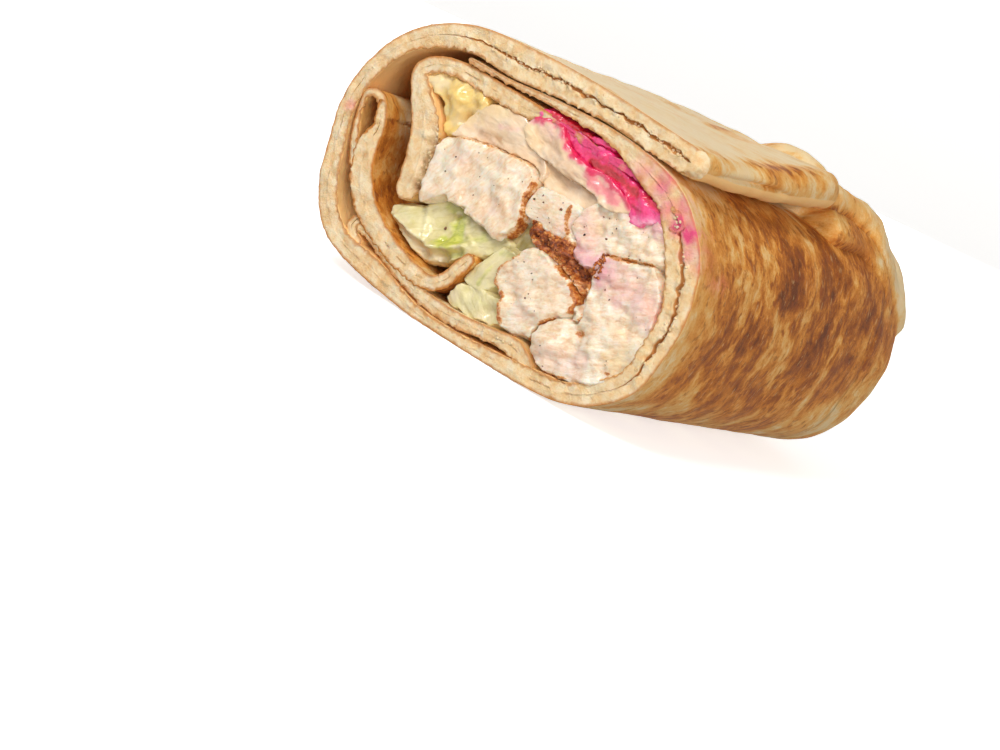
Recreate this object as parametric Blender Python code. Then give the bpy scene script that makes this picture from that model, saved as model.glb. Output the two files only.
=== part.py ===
"""Half of a shish taouk wrap, cut across the middle, lying on its wide flat side.

A round flatbread of two plies is rolled about chicken, lettuce, cabbage and pickled turnip.
X runs across the wrap, Y from the cut face to the folded end, Z up.
Every outline is drawn on the cut face, in millimetres: x from the middle, z from the base.
"""
import math

import bpy
import bmesh

MM = 0.001

# ---- driving dimensions, in millimetres ----
LENGTH = 85.0               # cut face to folded end
WIDEN = 0.055               # how much wider the roll is at its far end
FLATTEN = 0.030             # how much thinner the roll is at its far end
ROLL_END = 68.0             # depth at which the rolled plies run into the folded end
FILLING_END = 57.0          # depth at which the filling stops
FLAP_TIP = 31.5             # x of the flap's rim at the cut face
FLAP_ROOT = 0.0             # x at which the flap starts to follow the curve of the round bread
FLAP_POINTS = 4             # route points of the roll that lie in the flap
FLAP_DRAW_IN = 9.0          # how far the rim has curved back where the roll ends
FLAP_LIFT = 3.2             # how steeply the rim rises on its way, up the roll's shoulder
FLAP_DIP = 0.55             # share of that rise the rim has lost again where the roll ends
SHOULDER = 0.80             # share of the length at which the folded end starts to round off
END_FACE = 0.12             # how blunt the end is, before the rounding power
END_ROUNDING = 0.7          # below 1, the end is fuller than an ellipse
MIDDLE_Z = 24.0             # height about which the end closes
CENTRE_X = 0.47             # brings the middle of the bounding box onto X = 0
BASE_Z = 0.03               # brings the lowest point onto Z = 0
SPAN_STEPS = 3              # points laid between two route points
STATIONS = (0.0, 18.0, 36.0, 52.0, ROLL_END)

# ---- the rolled bread: routes of its plies as (x, z, thickness) ----
ROLL = (
    (29.0, 45.9, 4.9), (20.0, 46.8, 4.8), (10.0, 47.6, 4.8), (0.0, 47.75, 5.4), (-10.0, 47.4, 6.0),
    (-20.0, 47.3, 4.8), (-28.0, 44.9, 4.2), (-34.2, 40.6, 3.7), (-38.4, 34.0, 3.5), (-40.0, 27.0, 3.4),
    (-38.7, 19.5, 3.8), (-36.8, 12.8, 4.2), (-33.3, 7.8, 4.2), (-28.0, 4.9, 3.8), (-20.0, 3.5, 4.2),
    (-10.0, 1.5, 2.5), (0.0, 1.05, 2.1), (10.0, 1.35, 2.7), (20.0, 2.1, 3.6), (26.0, 3.0, 3.6),
    (31.5, 5.7, 4.3), (36.2, 10.3, 4.4), (37.8, 17.0, 4.8), (38.2, 23.0, 5.2), (36.1, 30.0, 6.4),
    (32.8, 34.8, 6.2), (28.5, 39.0, 5.0), (22.0, 41.4, 4.5), (14.0, 43.5, 2.4), (6.0, 43.95, 1.8),
    (-2.0, 43.95, 1.3), (-10.0, 43.65, 0.9), (-19.5, 43.75, 0.9))
INNER_TURN = (
    (21.0, 40.6, 2.6), (14.0, 40.2, 1.2), (7.0, 41.0, 1.1), (1.0, 41.55, 1.0), (-4.0, 41.0, 2.9),
    (-12.0, 41.2, 3.2), (-20.0, 41.5, 2.9), (-25.5, 40.5, 3.0), (-28.6, 38.0, 3.2), (-26.4, 34.6, 4.4),
    (-22.9, 30.0, 5.8), (-21.1, 25.0, 6.1), (-20.65, 21.0, 5.8), (-20.9, 19.2, 4.6))
CURL = (
    (-2.6, 13.5, 2.6), (-3.6, 11.8, 2.7), (-5.0, 9.0, 2.8), (-8.0, 6.9, 2.7), (-13.0, 7.1, 3.4),
    (-20.0, 8.9, 3.9), (-26.9, 12.4, 4.7), (-30.7, 16.8, 4.9), (-32.3, 21.5, 4.8), (-31.8, 26.0, 2.9),
    (-33.0, 29.6, 1.9))
CURL_FOLD = (
    (-31.9, 28.0, 2.0), (-34.2, 30.7, 1.6), (-37.2, 30.2, 1.3), (-37.2, 26.6, 1.1), (-35.7, 22.0, 1.8),
    (-33.6, 18.6, 2.4))
BASE_PLY = (
    (17.2, 3.4, 2.4), (13.5, 4.9, 3.2), (8.0, 4.7, 2.5), (2.0, 3.95, 2.6), (-5.0, 3.8, 2.7),
    (-12.0, 4.8, 2.1), (-19.0, 6.6, 1.5), (-24.2, 8.6, 1.6), (-26.6, 8.7, 1.6))

# Two folds of the inner ply, as closed outlines.
FOLDS = (
    ("corner_fold", ((-27.2, 37.2), (-25.3, 39.3), (-22.2, 40.3), (-21.3, 38.6), (-22.0, 36.0), (-20.9, 32.0),
                     (-23.5, 31.5), (-26.2, 34.0))),
    ("base_fold", ((-29.2, 8.8), (-28.0, 9.9), (-25.9, 9.6), (-25.2, 8.0), (-25.6, 5.6), (-27.6, 5.2),
                   (-28.2, 6.8))))

# ---- the folded end: the whole section, with and without the flap's height at the right shoulder ----
END_OUTLINE = (
    (-8.0, 50.3), (4.0, 50.6), (14.0, 50.9), (21.5, 50.0), (27.5, 47.2), (33.5, 41.8), (38.3, 34.0),
    (40.5, 24.0), (39.6, 15.0), (36.5, 7.5), (30.0, 2.6), (20.0, 0.4), (0.0, 0.05), (-14.0, 0.5),
    (-28.0, 3.0), (-35.5, 7.2), (-39.7, 15.5), (-41.5, 27.0), (-39.3, 36.0), (-33.0, 43.9),
    (-22.0, 49.2))
SHOULDER_DROP = 5.0         # how far below the flap the roll's own shoulder lies
END_STATIONS = (58.0, 66.0, 71.0, 75.5, 79.0, 81.7, 83.6, 84.65, LENGTH)

# Lips where the round bread's edge was folded over: routes as (x, depth, z) with a tube radius.
LIPS = (
    ("front_lip", 3.0, ((24.0, 47.5, 42.6), (30.0, 57.0, 41.0), (36.0, 65.0, 36.6), (39.2, 71.0, 29.5),
                        (38.6, 75.0, 20.0))),
    ("back_lip", 3.8, ((14.0, 56.0, 46.8), (21.5, 63.5, 45.6), (28.5, 71.0, 41.2), (33.0, 76.5, 33.0))),
    ("flap_hump", 3.8, ((27.0, 47.0, 46.8), (22.0, 54.5, 48.0), (12.0, 58.5, 47.6), (0.0, 61.0, 46.2))))

# ---- the filling: (name, material, how far its cut face is set back, outline) ----
FILLING = (
    ("chicken_left", "chicken", 0.0, (
        (-17.0, 19.4), (-17.3, 25.0), (-16.9, 29.4), (-12.0, 31.6), (-4.0, 32.4), (0.8, 32.0),
        (2.4, 29.8), (3.1, 26.5), (3.2, 23.8), (2.2, 20.9), (0.4, 19.9), (-5.3, 20.4), (-9.0, 21.2),
        (-12.0, 21.5), (-14.6, 19.9))),
    ("chicken_middle", "chicken", 0.6, (
        (4.9, 29.7), (4.0, 28.8), (4.7, 27.2), (5.9, 25.7), (9.0, 25.3), (12.6, 25.4), (11.6, 27.0),
        (11.2, 29.5), (8.0, 29.9))),
    ("chicken_centre", "chicken", 0.3, (
        (12.2, 29.8), (12.1, 28.0), (13.2, 26.2), (14.8, 23.9), (17.2, 23.2), (19.8, 23.2), (20.6, 24.4),
        (20.4, 25.8), (24.0, 26.9), (28.0, 28.0), (30.8, 28.8), (31.2, 30.6), (29.4, 32.8), (26.4, 33.1),
        (22.6, 32.6), (20.0, 32.0), (17.8, 30.8), (15.0, 29.9))),
    ("chicken_browned", "chicken_brown", 1.2, (
        (6.4, 24.4), (9.0, 24.8), (13.2, 24.5), (15.0, 23.2), (19.4, 22.5), (20.5, 21.7), (20.1, 21.0),
        (17.0, 20.7), (14.0, 21.2), (11.4, 21.7), (9.6, 22.3), (7.5, 22.1))),
    ("chicken_lower", "chicken", 0.2, (
        (7.5, 20.6), (9.4, 21.5), (11.3, 20.9), (14.5, 20.4), (19.3, 18.9), (21.1, 17.0), (21.6, 15.0),
        (19.4, 13.5), (17.2, 11.8), (15.3, 10.1), (14.6, 7.9), (11.5, 7.1), (9.3, 7.4), (7.8, 9.2),
        (6.9, 11.4), (4.6, 13.2), (4.7, 16.0), (5.2, 17.9))),
    ("chicken_right", "chicken", 0.0, (
        (21.4, 25.4), (22.0, 24.0), (21.3, 22.4), (21.4, 20.6), (22.2, 18.0), (22.7, 15.4), (22.2, 13.9),
        (18.4, 11.2), (16.4, 9.2), (16.2, 7.2), (18.6, 5.1), (23.0, 5.4), (28.0, 6.6), (31.2, 9.2),
        (33.6, 12.8), (34.8, 17.5), (34.8, 22.5), (33.8, 25.8), (31.6, 27.8), (28.0, 27.2), (24.4, 26.1))),
    ("lettuce_leaf", "lettuce", 1.0, (
        (-22.4, 14.7), (-20.3, 16.1), (-17.0, 17.6), (-14.4, 19.3), (-11.8, 20.9), (-8.6, 20.5),
        (-5.4, 19.7), (0.2, 19.3), (1.4, 18.7), (0.2, 17.3), (-2.2, 15.6), (-4.6, 14.5), (-7.2, 12.2),
        (-10.0, 10.4), (-12.6, 9.8), (-17.0, 11.3), (-20.6, 12.9))),
    ("lettuce_rib", "lettuce_pale", 0.8, (
        (0.6, 16.1), (2.0, 18.2), (4.2, 18.0), (3.9, 15.8), (3.3, 13.6), (2.3, 11.8), (0.8, 10.7),
        (-0.8, 10.4), (-1.8, 11.0), (-1.0, 12.8), (-0.2, 14.6))),
    ("lettuce_back", "lettuce_dark", 3.0, (
        (4.3, 26.1), (3.7, 23.6), (2.7, 20.6), (2.7, 19.4), (4.5, 18.8), (5.9, 20.0), (6.8, 21.3),
        (5.7, 22.5), (5.3, 24.4))),
    ("lettuce_shred", "lettuce_pale", 0.6, (
        (-3.3, 7.2), (-2.4, 8.9), (-0.5, 9.7), (2.0, 10.1), (4.6, 10.2), (6.0, 9.6), (6.7, 8.0),
        (5.8, 6.7), (3.0, 6.1), (0.0, 5.8), (-2.6, 5.9))),
    ("lettuce_yellow", "lettuce_yellow", 1.2, (
        (-20.8, 38.2), (-18.6, 39.3), (-15.6, 39.1), (-13.6, 38.3), (-15.1, 36.8), (-15.0, 34.2),
        (-15.0, 32.4), (-16.2, 30.9), (-18.3, 30.6), (-19.3, 32.4), (-20.6, 35.0))),
    ("cabbage_strip", "cabbage", 0.6, (
        (-14.4, 36.6), (-13.2, 37.6), (-10.6, 38.7), (-7.0, 39.1), (-4.2, 38.8), (-3.5, 37.2),
        (-2.0, 35.9), (0.6, 34.8), (1.6, 34.0), (0.2, 33.3), (-3.0, 33.1), (-6.4, 33.4), (-9.4, 34.3),
        (-12.4, 34.1), (-14.1, 34.7))),
    ("cabbage_petal", "cabbage_pink", 0.3, (
        (-2.8, 37.8), (-2.4, 39.0), (-0.8, 40.0), (1.2, 40.5), (3.4, 40.4), (6.0, 38.9), (9.4, 37.5),
        (13.0, 37.0), (17.0, 36.5), (19.8, 35.1), (21.0, 34.0), (20.2, 33.2), (17.0, 33.2), (12.0, 33.9),
        (7.0, 34.6), (2.6, 34.8), (0.0, 35.9), (-1.8, 36.5))),
    ("cabbage_core", "cabbage", 0.9, (
        (3.1, 33.7), (7.0, 34.0), (11.0, 33.5), (15.0, 32.8), (17.4, 32.4), (17.5, 31.5), (15.0, 30.6),
        (12.0, 30.3), (8.5, 30.3), (5.3, 30.3), (4.2, 31.4))),
    ("pickled_turnip", "pickle", 0.5, (
        (5.6, 40.0), (8.5, 39.9), (12.0, 39.3), (15.0, 39.0), (18.0, 38.4), (22.0, 38.2), (25.0, 37.4),
        (27.2, 36.0), (27.0, 35.0), (25.4, 34.2), (23.2, 33.7), (21.9, 34.6), (20.4, 35.7), (17.6, 37.0),
        (13.2, 37.5), (9.8, 38.0), (7.2, 38.9))))
PICKLE_SHRED = ((0.6, 42.6, 0.5), (4.0, 42.4, 0.6), (9.0, 41.95, 0.6), (14.0, 41.5, 0.5))
SHRED_STATIONS = (0.8, 12.0, 26.0)

FILLING_STATIONS = (0.0, 0.25, 0.6, 0.9, 1.0)           # shares of a filling's run
SWELL = (1.0, 0.96, 0.95, 0.92, 0.62)                   # its size at each of them
WOBBLE_TURN = 0.05                                      # how far its section turns, in radians

# name: (colour, roughness)
MATERIALS = {
    "bread": ((0.78, 0.55, 0.30), 0.75),
    "chicken": ((0.86, 0.72, 0.58), 0.45),
    "chicken_brown": ((0.50, 0.22, 0.07), 0.55),
    "lettuce": ((0.70, 0.74, 0.28), 0.40),
    "lettuce_pale": ((0.82, 0.80, 0.50), 0.40),
    "lettuce_dark": ((0.42, 0.40, 0.12), 0.45),
    "lettuce_yellow": ((0.88, 0.72, 0.28), 0.40),
    "cabbage": ((0.86, 0.74, 0.56), 0.35),
    "cabbage_pink": ((0.88, 0.66, 0.58), 0.35),
    "pickle": ((0.80, 0.06, 0.24), 0.25),
}


def clear_scene():
    """Start from an empty scene."""
    for obj in list(bpy.data.objects):
        bpy.data.objects.remove(obj, do_unlink=True)


def make_collection(name):
    """A new collection, linked to the scene."""
    collection = bpy.data.collections.new(name)
    bpy.context.scene.collection.children.link(collection)
    return collection


def make_material(name):
    """One of the wrap's surfaces as a Principled BSDF."""
    if name in bpy.data.materials:
        return bpy.data.materials[name]
    colour, roughness = MATERIALS[name]
    material = bpy.data.materials.new(name)
    material.use_nodes = True
    shader = material.node_tree.nodes["Principled BSDF"]
    shader.inputs["Base Color"].default_value = (*colour, 1.0)
    shader.inputs["Roughness"].default_value = roughness
    shader.inputs["Metallic"].default_value = 0.0
    return material


def smooth_route(points, steps, closed):
    """Catmull-Rom curve through the points, with a number of steps to each span."""
    count = len(points)
    curve = []
    for i in range(count if closed else count - 1):
        if closed:
            near = [points[(i + k) % count] for k in (-1, 0, 1, 2)]
        else:
            near = [points[min(max(i + k, 0), count - 1)] for k in (-1, 0, 1, 2)]
        for step in range(steps):
            t = step / steps
            weights = (-0.5 * t + t * t - 0.5 * t ** 3, 1 - 2.5 * t * t + 1.5 * t ** 3,
                       0.5 * t + 2 * t * t - 1.5 * t ** 3, -0.5 * t * t + 0.5 * t ** 3)
            curve.append(tuple(sum(w * p[axis] for w, p in zip(weights, near))
                               for axis in range(len(points[0]))))
    if not closed:
        curve.append(tuple(points[-1]))
    return curve


def ply_outline(route, steps=SPAN_STEPS):
    """The closed outline of a ply that follows a route (x, z, thickness), with round ends."""
    line = smooth_route(route, steps, closed=False)
    left, right = [], []
    for i, (x, z, thickness) in enumerate(line):
        ahead, behind = line[min(i + 1, len(line) - 1)], line[max(i - 1, 0)]
        run, rise = ahead[0] - behind[0], ahead[1] - behind[1]
        reach = math.hypot(run, rise)
        side = (-rise / reach * thickness / 2, run / reach * thickness / 2)
        left.append((x + side[0], z + side[1]))
        right.append((x - side[0], z - side[1]))

    def round_end(start, end, centre):
        """Three points on the half circle from start to end, clockwise about the centre."""
        radius = math.hypot(start[0] - centre[0], start[1] - centre[1])
        first = math.atan2(start[1] - centre[1], start[0] - centre[0])
        return [(centre[0] + radius * math.cos(first - a), centre[1] + radius * math.sin(first - a))
                for a in (math.pi / 4, math.pi / 2, math.pi * 3 / 4)]

    tip = round_end(left[-1], right[-1], line[-1])
    root = round_end(right[0], left[0], line[0])
    return left + tip + right[::-1] + root


def widened(x, z, depth):
    """The place of a cut-face point at a depth: the roll grows wider and flatter with depth."""
    share = depth / LENGTH
    return x * (1 + WIDEN * share), z * (1 - FLATTEN * share)


def flap_drawn_in(route, depth):
    """The flap's rim is an arc of the round bread, so the flap is shorter the deeper it lies."""
    run = depth / ROLL_END
    drawn = []
    for x, z, thickness in route[:FLAP_POINTS]:
        share = (x - FLAP_ROOT) / (FLAP_TIP - FLAP_ROOT)
        lift = FLAP_LIFT * share * run * (1 - FLAP_DIP * run ** 4)
        drawn.append((x - FLAP_DRAW_IN * share * run ** 2, z + lift, thickness))
    return drawn + list(route[FLAP_POINTS:])


def placed(x, depth, z):
    """A point of the wrap, in metres, about the middle of its base."""
    return ((x + CENTRE_X) * MM, (depth - LENGTH / 2) * MM, (z + BASE_Z) * MM)


def ring_at(outline, depth):
    """A cut-face outline laid at a depth."""
    ring = []
    for point in outline:
        x, z = widened(*point, depth)
        ring.append((x, depth, z))
    return ring


def loft(name, rings, material, collection):
    """A closed solid through rings of equal count, which run round the same way."""
    mesh = bpy.data.meshes.new(name)
    shape = bmesh.new()
    loops = [[shape.verts.new(placed(*point)) for point in ring] for ring in rings]
    count = len(rings[0])
    for first, second in zip(loops, loops[1:]):
        for i in range(count):
            k = (i + 1) % count
            shape.faces.new((first[i], first[k], second[k], second[i]))
    shape.faces.new(loops[0][::-1])
    shape.faces.new(loops[-1])
    bmesh.ops.recalc_face_normals(shape, faces=shape.faces)
    shape.to_mesh(mesh)
    shape.free()
    mesh.shade_smooth()
    mesh.set_sharp_from_angle(angle=math.radians(40))
    obj = bpy.data.objects.new(name, mesh)
    collection.objects.link(obj)
    if material:
        mesh.materials.append(make_material(material))
    return obj


def ply(name, route, collection, material=None, flap=False):
    """One rolled ply, from the cut face into the folded end."""
    rings = []
    for depth in STATIONS:
        outline = ply_outline(flap_drawn_in(route, depth) if flap else route)
        rings.append(ring_at(outline, depth))
    return loft(name, rings, material, collection)


def fold(name, outline, collection):
    """A fold of the inner ply, a rounded strip from the cut face into the folded end."""
    curve = smooth_route(outline, 2, closed=True)
    return loft(name, [ring_at(curve, depth) for depth in STATIONS], None, collection)


def folded_end(collection):
    """The closed end: the full section, rounded off towards a blunt face."""
    outline = smooth_route(END_OUTLINE, 2, closed=True)
    rings = []
    for depth in END_STATIONS:
        share = max(0.0, (depth / LENGTH - SHOULDER) / (1 - SHOULDER))
        close = max(math.sqrt(max(0.0, 1 - share * share)), END_FACE) ** END_ROUNDING
        rise = min(1.0, (depth - END_STATIONS[0]) / 12.0)
        tuck = 0.985 + 0.015 * min(1.0, (depth - END_STATIONS[0]) / 10.0)
        ring = []
        for x, z in outline:
            shoulder = max(0.0, min(1.0, (x - 6.0) / 14.0)) * max(0.0, min(1.0, (z - 30.0) / 12.0))
            z -= SHOULDER_DROP * shoulder * (1 - rise)
            x, z = widened(x, z, depth)
            x *= tuck * close
            z = MIDDLE_Z + (z - MIDDLE_Z) * tuck * close
            ring.append((x, depth, z))
        rings.append(ring)
    return loft("folded_end", rings, None, collection)


def lip(name, radius, route, collection):
    """A rolled edge of bread: a tube along a route, closed at both ends."""
    line = smooth_route(route, 3, closed=False)
    curve = bpy.data.curves.new(name + "_guide", "CURVE")
    curve.dimensions = "3D"
    curve.bevel_depth = radius * MM
    curve.bevel_resolution = 1
    curve.use_fill_caps = True
    spline = curve.splines.new("POLY")
    spline.points.add(len(line) - 1)
    for i, (point, (x, depth, z)) in enumerate(zip(spline.points, line)):
        point.co = (*placed(x, depth, z), 1.0)
        share = i / (len(line) - 1)
        point.radius = 0.55 + 0.45 * math.sin(math.pi * min(max(share, 0.08), 0.92))
    guide = bpy.data.objects.new(name + "_guide", curve)
    collection.objects.link(guide)
    bpy.context.view_layer.update()
    mesh = bpy.data.meshes.new_from_object(guide.evaluated_get(bpy.context.evaluated_depsgraph_get()))
    shape = bmesh.new()
    shape.from_mesh(mesh)
    bmesh.ops.remove_doubles(shape, verts=shape.verts, dist=0.00001)
    bmesh.ops.recalc_face_normals(shape, faces=shape.faces)
    shape.to_mesh(mesh)
    shape.free()
    solid = bpy.data.objects.new(name, mesh)
    solid.matrix_world = guide.matrix_world
    collection.objects.link(solid)
    bpy.data.objects.remove(guide, do_unlink=True)
    return solid


def filling(name, material, set_back, outline, collection):
    """One piece of the filling, which runs back through the wrap inside its own outline."""
    curve = smooth_route(outline, 2, closed=True)
    middle = (sum(p[0] for p in curve) / len(curve), sum(p[1] for p in curve) / len(curve))
    rings = []
    for share, size in zip(FILLING_STATIONS, SWELL):
        depth = set_back + (FILLING_END - set_back) * share
        turn = WOBBLE_TURN * math.sin(share * math.pi * 1.4 + middle[0]) * (1 - size) / 0.06
        turn = max(-WOBBLE_TURN, min(WOBBLE_TURN, turn)) if 0 < share < 1 else 0.0
        section = []
        for x, z in curve:
            across, up = (x - middle[0]) * size, (z - middle[1]) * size
            section.append((middle[0] + across * math.cos(turn) - up * math.sin(turn),
                            middle[1] + across * math.sin(turn) + up * math.cos(turn)))
        rings.append(ring_at(section, depth))
    return loft(name, rings, material, collection)


def build():
    """Make every piece of the wrap."""
    clear_scene()
    parts = make_collection("shish_taouk_wrap")
    joined = make_collection("bread_layers")

    bread = ply("flatbread", ROLL, parts, "bread", flap=True)
    layers = [ply("inner_turn", INNER_TURN, joined), ply("curl", CURL, joined),
              ply("curl_fold", CURL_FOLD, joined), ply("base_ply", BASE_PLY, joined)]
    layers += [fold(name, outline, joined) for name, outline in FOLDS]
    layers.append(folded_end(joined))
    layers += [lip(name, radius, route, joined) for name, radius, route in LIPS]
    for layer in layers:
        layer.hide_render = True
        layer.display_type = "WIRE"
    union = bread.modifiers.new("layers", "BOOLEAN")
    union.operation = "UNION"
    union.operand_type = "COLLECTION"
    union.collection = joined

    for name, material, set_back, outline in FILLING:
        filling(name, material, set_back, outline, parts)
    shred = ply_outline(PICKLE_SHRED, steps=2)
    loft("pickle_shred", [ring_at(shred, depth) for depth in SHRED_STATIONS], "pickle", parts)


build()
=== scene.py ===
import math

import bpy
import numpy as np
from mathutils import Matrix, Vector, noise


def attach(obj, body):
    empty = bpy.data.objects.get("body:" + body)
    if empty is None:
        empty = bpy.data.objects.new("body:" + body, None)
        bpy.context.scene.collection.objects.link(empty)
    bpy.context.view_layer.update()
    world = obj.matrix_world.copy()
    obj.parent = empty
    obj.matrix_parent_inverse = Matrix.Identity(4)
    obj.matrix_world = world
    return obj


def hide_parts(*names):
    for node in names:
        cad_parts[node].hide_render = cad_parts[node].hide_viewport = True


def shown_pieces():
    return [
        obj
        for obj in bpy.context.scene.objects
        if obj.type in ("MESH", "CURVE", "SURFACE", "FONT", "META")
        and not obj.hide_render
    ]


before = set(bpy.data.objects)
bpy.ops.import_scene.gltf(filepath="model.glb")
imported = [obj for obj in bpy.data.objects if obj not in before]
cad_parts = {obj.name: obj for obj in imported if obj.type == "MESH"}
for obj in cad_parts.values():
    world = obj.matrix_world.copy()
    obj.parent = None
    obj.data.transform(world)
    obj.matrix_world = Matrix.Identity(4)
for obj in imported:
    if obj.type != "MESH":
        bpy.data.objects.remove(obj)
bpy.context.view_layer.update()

# ---- Outer turn of the flatbread -------------------------------------------------------------
# The round loaf's two plies, rolled once round the filling and over themselves: flap on top, left
# side, base, browned right side and back under the flap. Where the plies have parted, the cut
# shows a torn line. Sizes are in mm on the cut face: x from the middle, z up, depth into the wrap.
LENGTH = 85.0
CENTRE_X, BASE_Z, MIDDLE_Z = 0.47, 0.03, 24.0
HALF_WIDTH, HALF_HEIGHT = 42.0, 24.0
# At its far end the wrap is wider and flatter than at the cut by these shares.
WIDEN, FLATTEN = 0.055, 0.030
BREAD_END, ROW_STEP = 63.0, 1.35
# The skin's pattern is laid round a thin core, and the lumps fade out towards the roll's middle.
CORE, SOLID_MIDDLE = 10.0, 6.0

# x, z, thickness, half width of the torn line
OUTER_TURN = (
    (29, 45.9, 4.9, 0), (27.4, 46.1, 4.9, 0.22), (20, 46.8, 4.8, 0.34), (10, 47.6, 4.8, 0.3),
    (0, 47.75, 5.4, 0.22), (-10, 47.4, 6, 0.22), (-20, 47.3, 4.8, 0.12), (-28, 44.9, 4.2, 0),
    (-34.2, 40.6, 3.7, 0), (-38.4, 34, 3.5, 0), (-40, 27, 3.4, 0), (-38.7, 19.5, 3.8, 0),
    (-36.8, 12.8, 4.2, 0), (-33.3, 7.8, 4.2, 0), (-28, 4.9, 3.8, 0), (-20, 3.5, 4.2, 0),
    (-10, 1.5, 2.5, 0), (0, 1.05, 2.1, 0), (10, 1.35, 2.7, 0), (20, 2.1, 3.6, 0), (26, 3, 3.6, 0),
    (31.5, 5.7, 4.3, 0), (36.2, 10.3, 4.4, 0.1), (37.8, 17, 4.8, 0.32), (38.2, 23, 5.2, 0.3),
    (36.1, 30, 6.4, 0.34), (32.8, 34.8, 6.2, 0.34), (28.5, 39, 5, 0), (22, 41.4, 4.5, 0),
    (14, 43.5, 2.4, 0), (6, 43.95, 1.8, 0), (-2, 43.95, 1.3, 0), (-10, 43.65, 0.9, 0),
    (-19.5, 43.75, 0.9, 0))
FLAP_SPAN = 31.5
# The flap's rim along the wrap: at each depth, how far it is drawn in, lifted and swollen, and where
# its crease runs (-1 its top, 1 its underside).
RIM_DEPTHS = (0, 10, 16, 22, 28, 35, 41, 45, 48, 51, 55, 66)
RIM_DRAWN_IN = (0, 0, 0, 0, 0, 0, 0.3, 1.2, 3.2, 7.5, 12, 18)
RIM_LIFTED = (0, 0.2, 0.5, 0.9, 1.6, 2.8, 3.7, 4, 3.4, 1, -1.8, -4)
RIM_SWOLLEN = (0, 0.15, 0.3, 0.45, 0.7, 1, 1.2, 1.1, 0.5, -0.6, -1.4, -1.6)
RIM_CREASE = (0.2, -0.15, -0.25, -0.2, 0.12, 0.2, 0.2, 0.2, 0.2, 0.2, 0.2, 0.2)
# How far the rim is worn back at the cut, and the shoulder below it: where it is, its reach, its shift.
RIM_WORN = 1.7
SHOULDER_X, SHOULDER_Z, SHOULDER_REACH, SHOULDER_SHIFT = 32.0, 36.0, 8.0, (2.0, 2.2)


def smooth_line(points, step, closed=False):
    """Points a step apart on the smooth curve through the given ones, all columns carried along."""
    given = np.array(points, float)
    ends = (given[-1:], given[:2]) if closed else (given[:1], given[-1:])
    given = np.vstack([ends[0], given, ends[1]])
    share = np.linspace(0.0, 1.0, 24, endpoint=False)[:, None]
    spans = [0.5 * (2 * b + (c - a) * share + (2 * a - 5 * b + 4 * c - d) * share ** 2
                    + (3 * b - a - 3 * c + d) * share ** 3)
             for a, b, c, d in zip(given, given[1:], given[2:], given[3:])]
    dense = np.vstack(spans + [given[-2:-1]])
    run = np.append(0.0, np.cumsum(np.linalg.norm(np.diff(dense[:, :2], axis=0), axis=1)))
    stops = np.linspace(0.0, run[-1], max(3, int(run[-1] / step)) + 1)
    line = np.column_stack([np.interp(stops, run, column) for column in dense.T])
    return line[:-1] if closed else line


def rough(points, size, seed=0.0, octaves=2):
    """Soft noise from -1 to 1 at each point, with lumps of a size in mm."""
    offset = Vector((seed * 17.3, seed * 5.7, -seed * 9.1))
    return np.array([noise.fractal(Vector(point) / size + offset, 1.0, 2.0, octaves,
                                   noise_basis="PERLIN_ORIGINAL") for point in points])


def held(values):
    """Values kept between 0 and 1."""
    return np.clip(values, 0.0, 1.0)


def hump(off, width):
    """1 where off is 0, falling softly to both sides over a width."""
    return np.exp(-(off / width) ** 2)


def around_roll(points):
    """Each point drawn in to a thin core, so that a pattern on it runs in streaks round the roll."""
    x, depth, z = points.T
    reach = np.maximum(np.hypot(x, z - MIDDLE_Z), CORE)
    return np.column_stack([CORE * x / reach, depth, CORE * (z - MIDDLE_Z) / reach])


def unevenness(points):
    """The roll's hand-made lumps: every layer moves with the one it lies on, the cut stays put."""
    x, depth, z = points.T
    reach = np.maximum(np.hypot(x, z - MIDDLE_Z), SOLID_MIDDLE)
    swell = 0.55 * rough(points, 17.0, seed=1) + 0.22 * rough(points, 7.0, seed=2)
    swell *= held(depth / 12.0) * held(z / 6.0)
    return points + np.column_stack([x / reach * swell, 0 * x, (z - MIDDLE_Z) / reach * swell])


def in_world(points):
    """Points of the cut face's frame, in mm, as places in the scene, in metres."""
    x, depth, z = points.T
    share = depth / LENGTH
    x = x * (1 + WIDEN * share)
    z = z * (1 - FLATTEN * share)
    return np.column_stack([x + CENTRE_X, depth - LENGTH / 2, np.maximum(z, 0.0) + BASE_Z]) * 0.001


def dough(name, points, facts):
    """A grid laid on rows of points, first and last column joined, made one closed piece."""
    rows, columns, _ = points.shape
    points = np.concatenate([points, points[:, :1]], axis=1)
    bpy.ops.object.select_all(action="DESELECT")
    bpy.ops.mesh.primitive_grid_add(x_subdivisions=columns, y_subdivisions=rows - 1, size=1.0)
    piece = bpy.context.object
    piece.name = piece.data.name = name
    flat = points.reshape(-1, 3)
    piece.data.vertices.foreach_set("co", in_world(flat).ravel())
    for fact, values in facts.items():
        kind = "FLOAT_VECTOR" if values.ndim == 3 else "FLOAT"
        values = np.concatenate([values, values[:, :1]], axis=1)
        layer = piece.data.attributes.new(fact, kind, "POINT")
        layer.data.foreach_set("vector" if kind == "FLOAT_VECTOR" else "value", values.ravel())
    bpy.ops.object.mode_set(mode="EDIT")
    bpy.ops.mesh.select_all(action="SELECT")
    bpy.ops.mesh.remove_doubles(threshold=0.000004)
    bpy.ops.mesh.delete_loose()
    bpy.ops.mesh.select_all(action="SELECT")
    bpy.ops.mesh.normals_make_consistent(inside=False)
    bpy.ops.object.mode_set(mode="OBJECT")
    bpy.ops.object.shade_smooth()
    return piece


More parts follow.
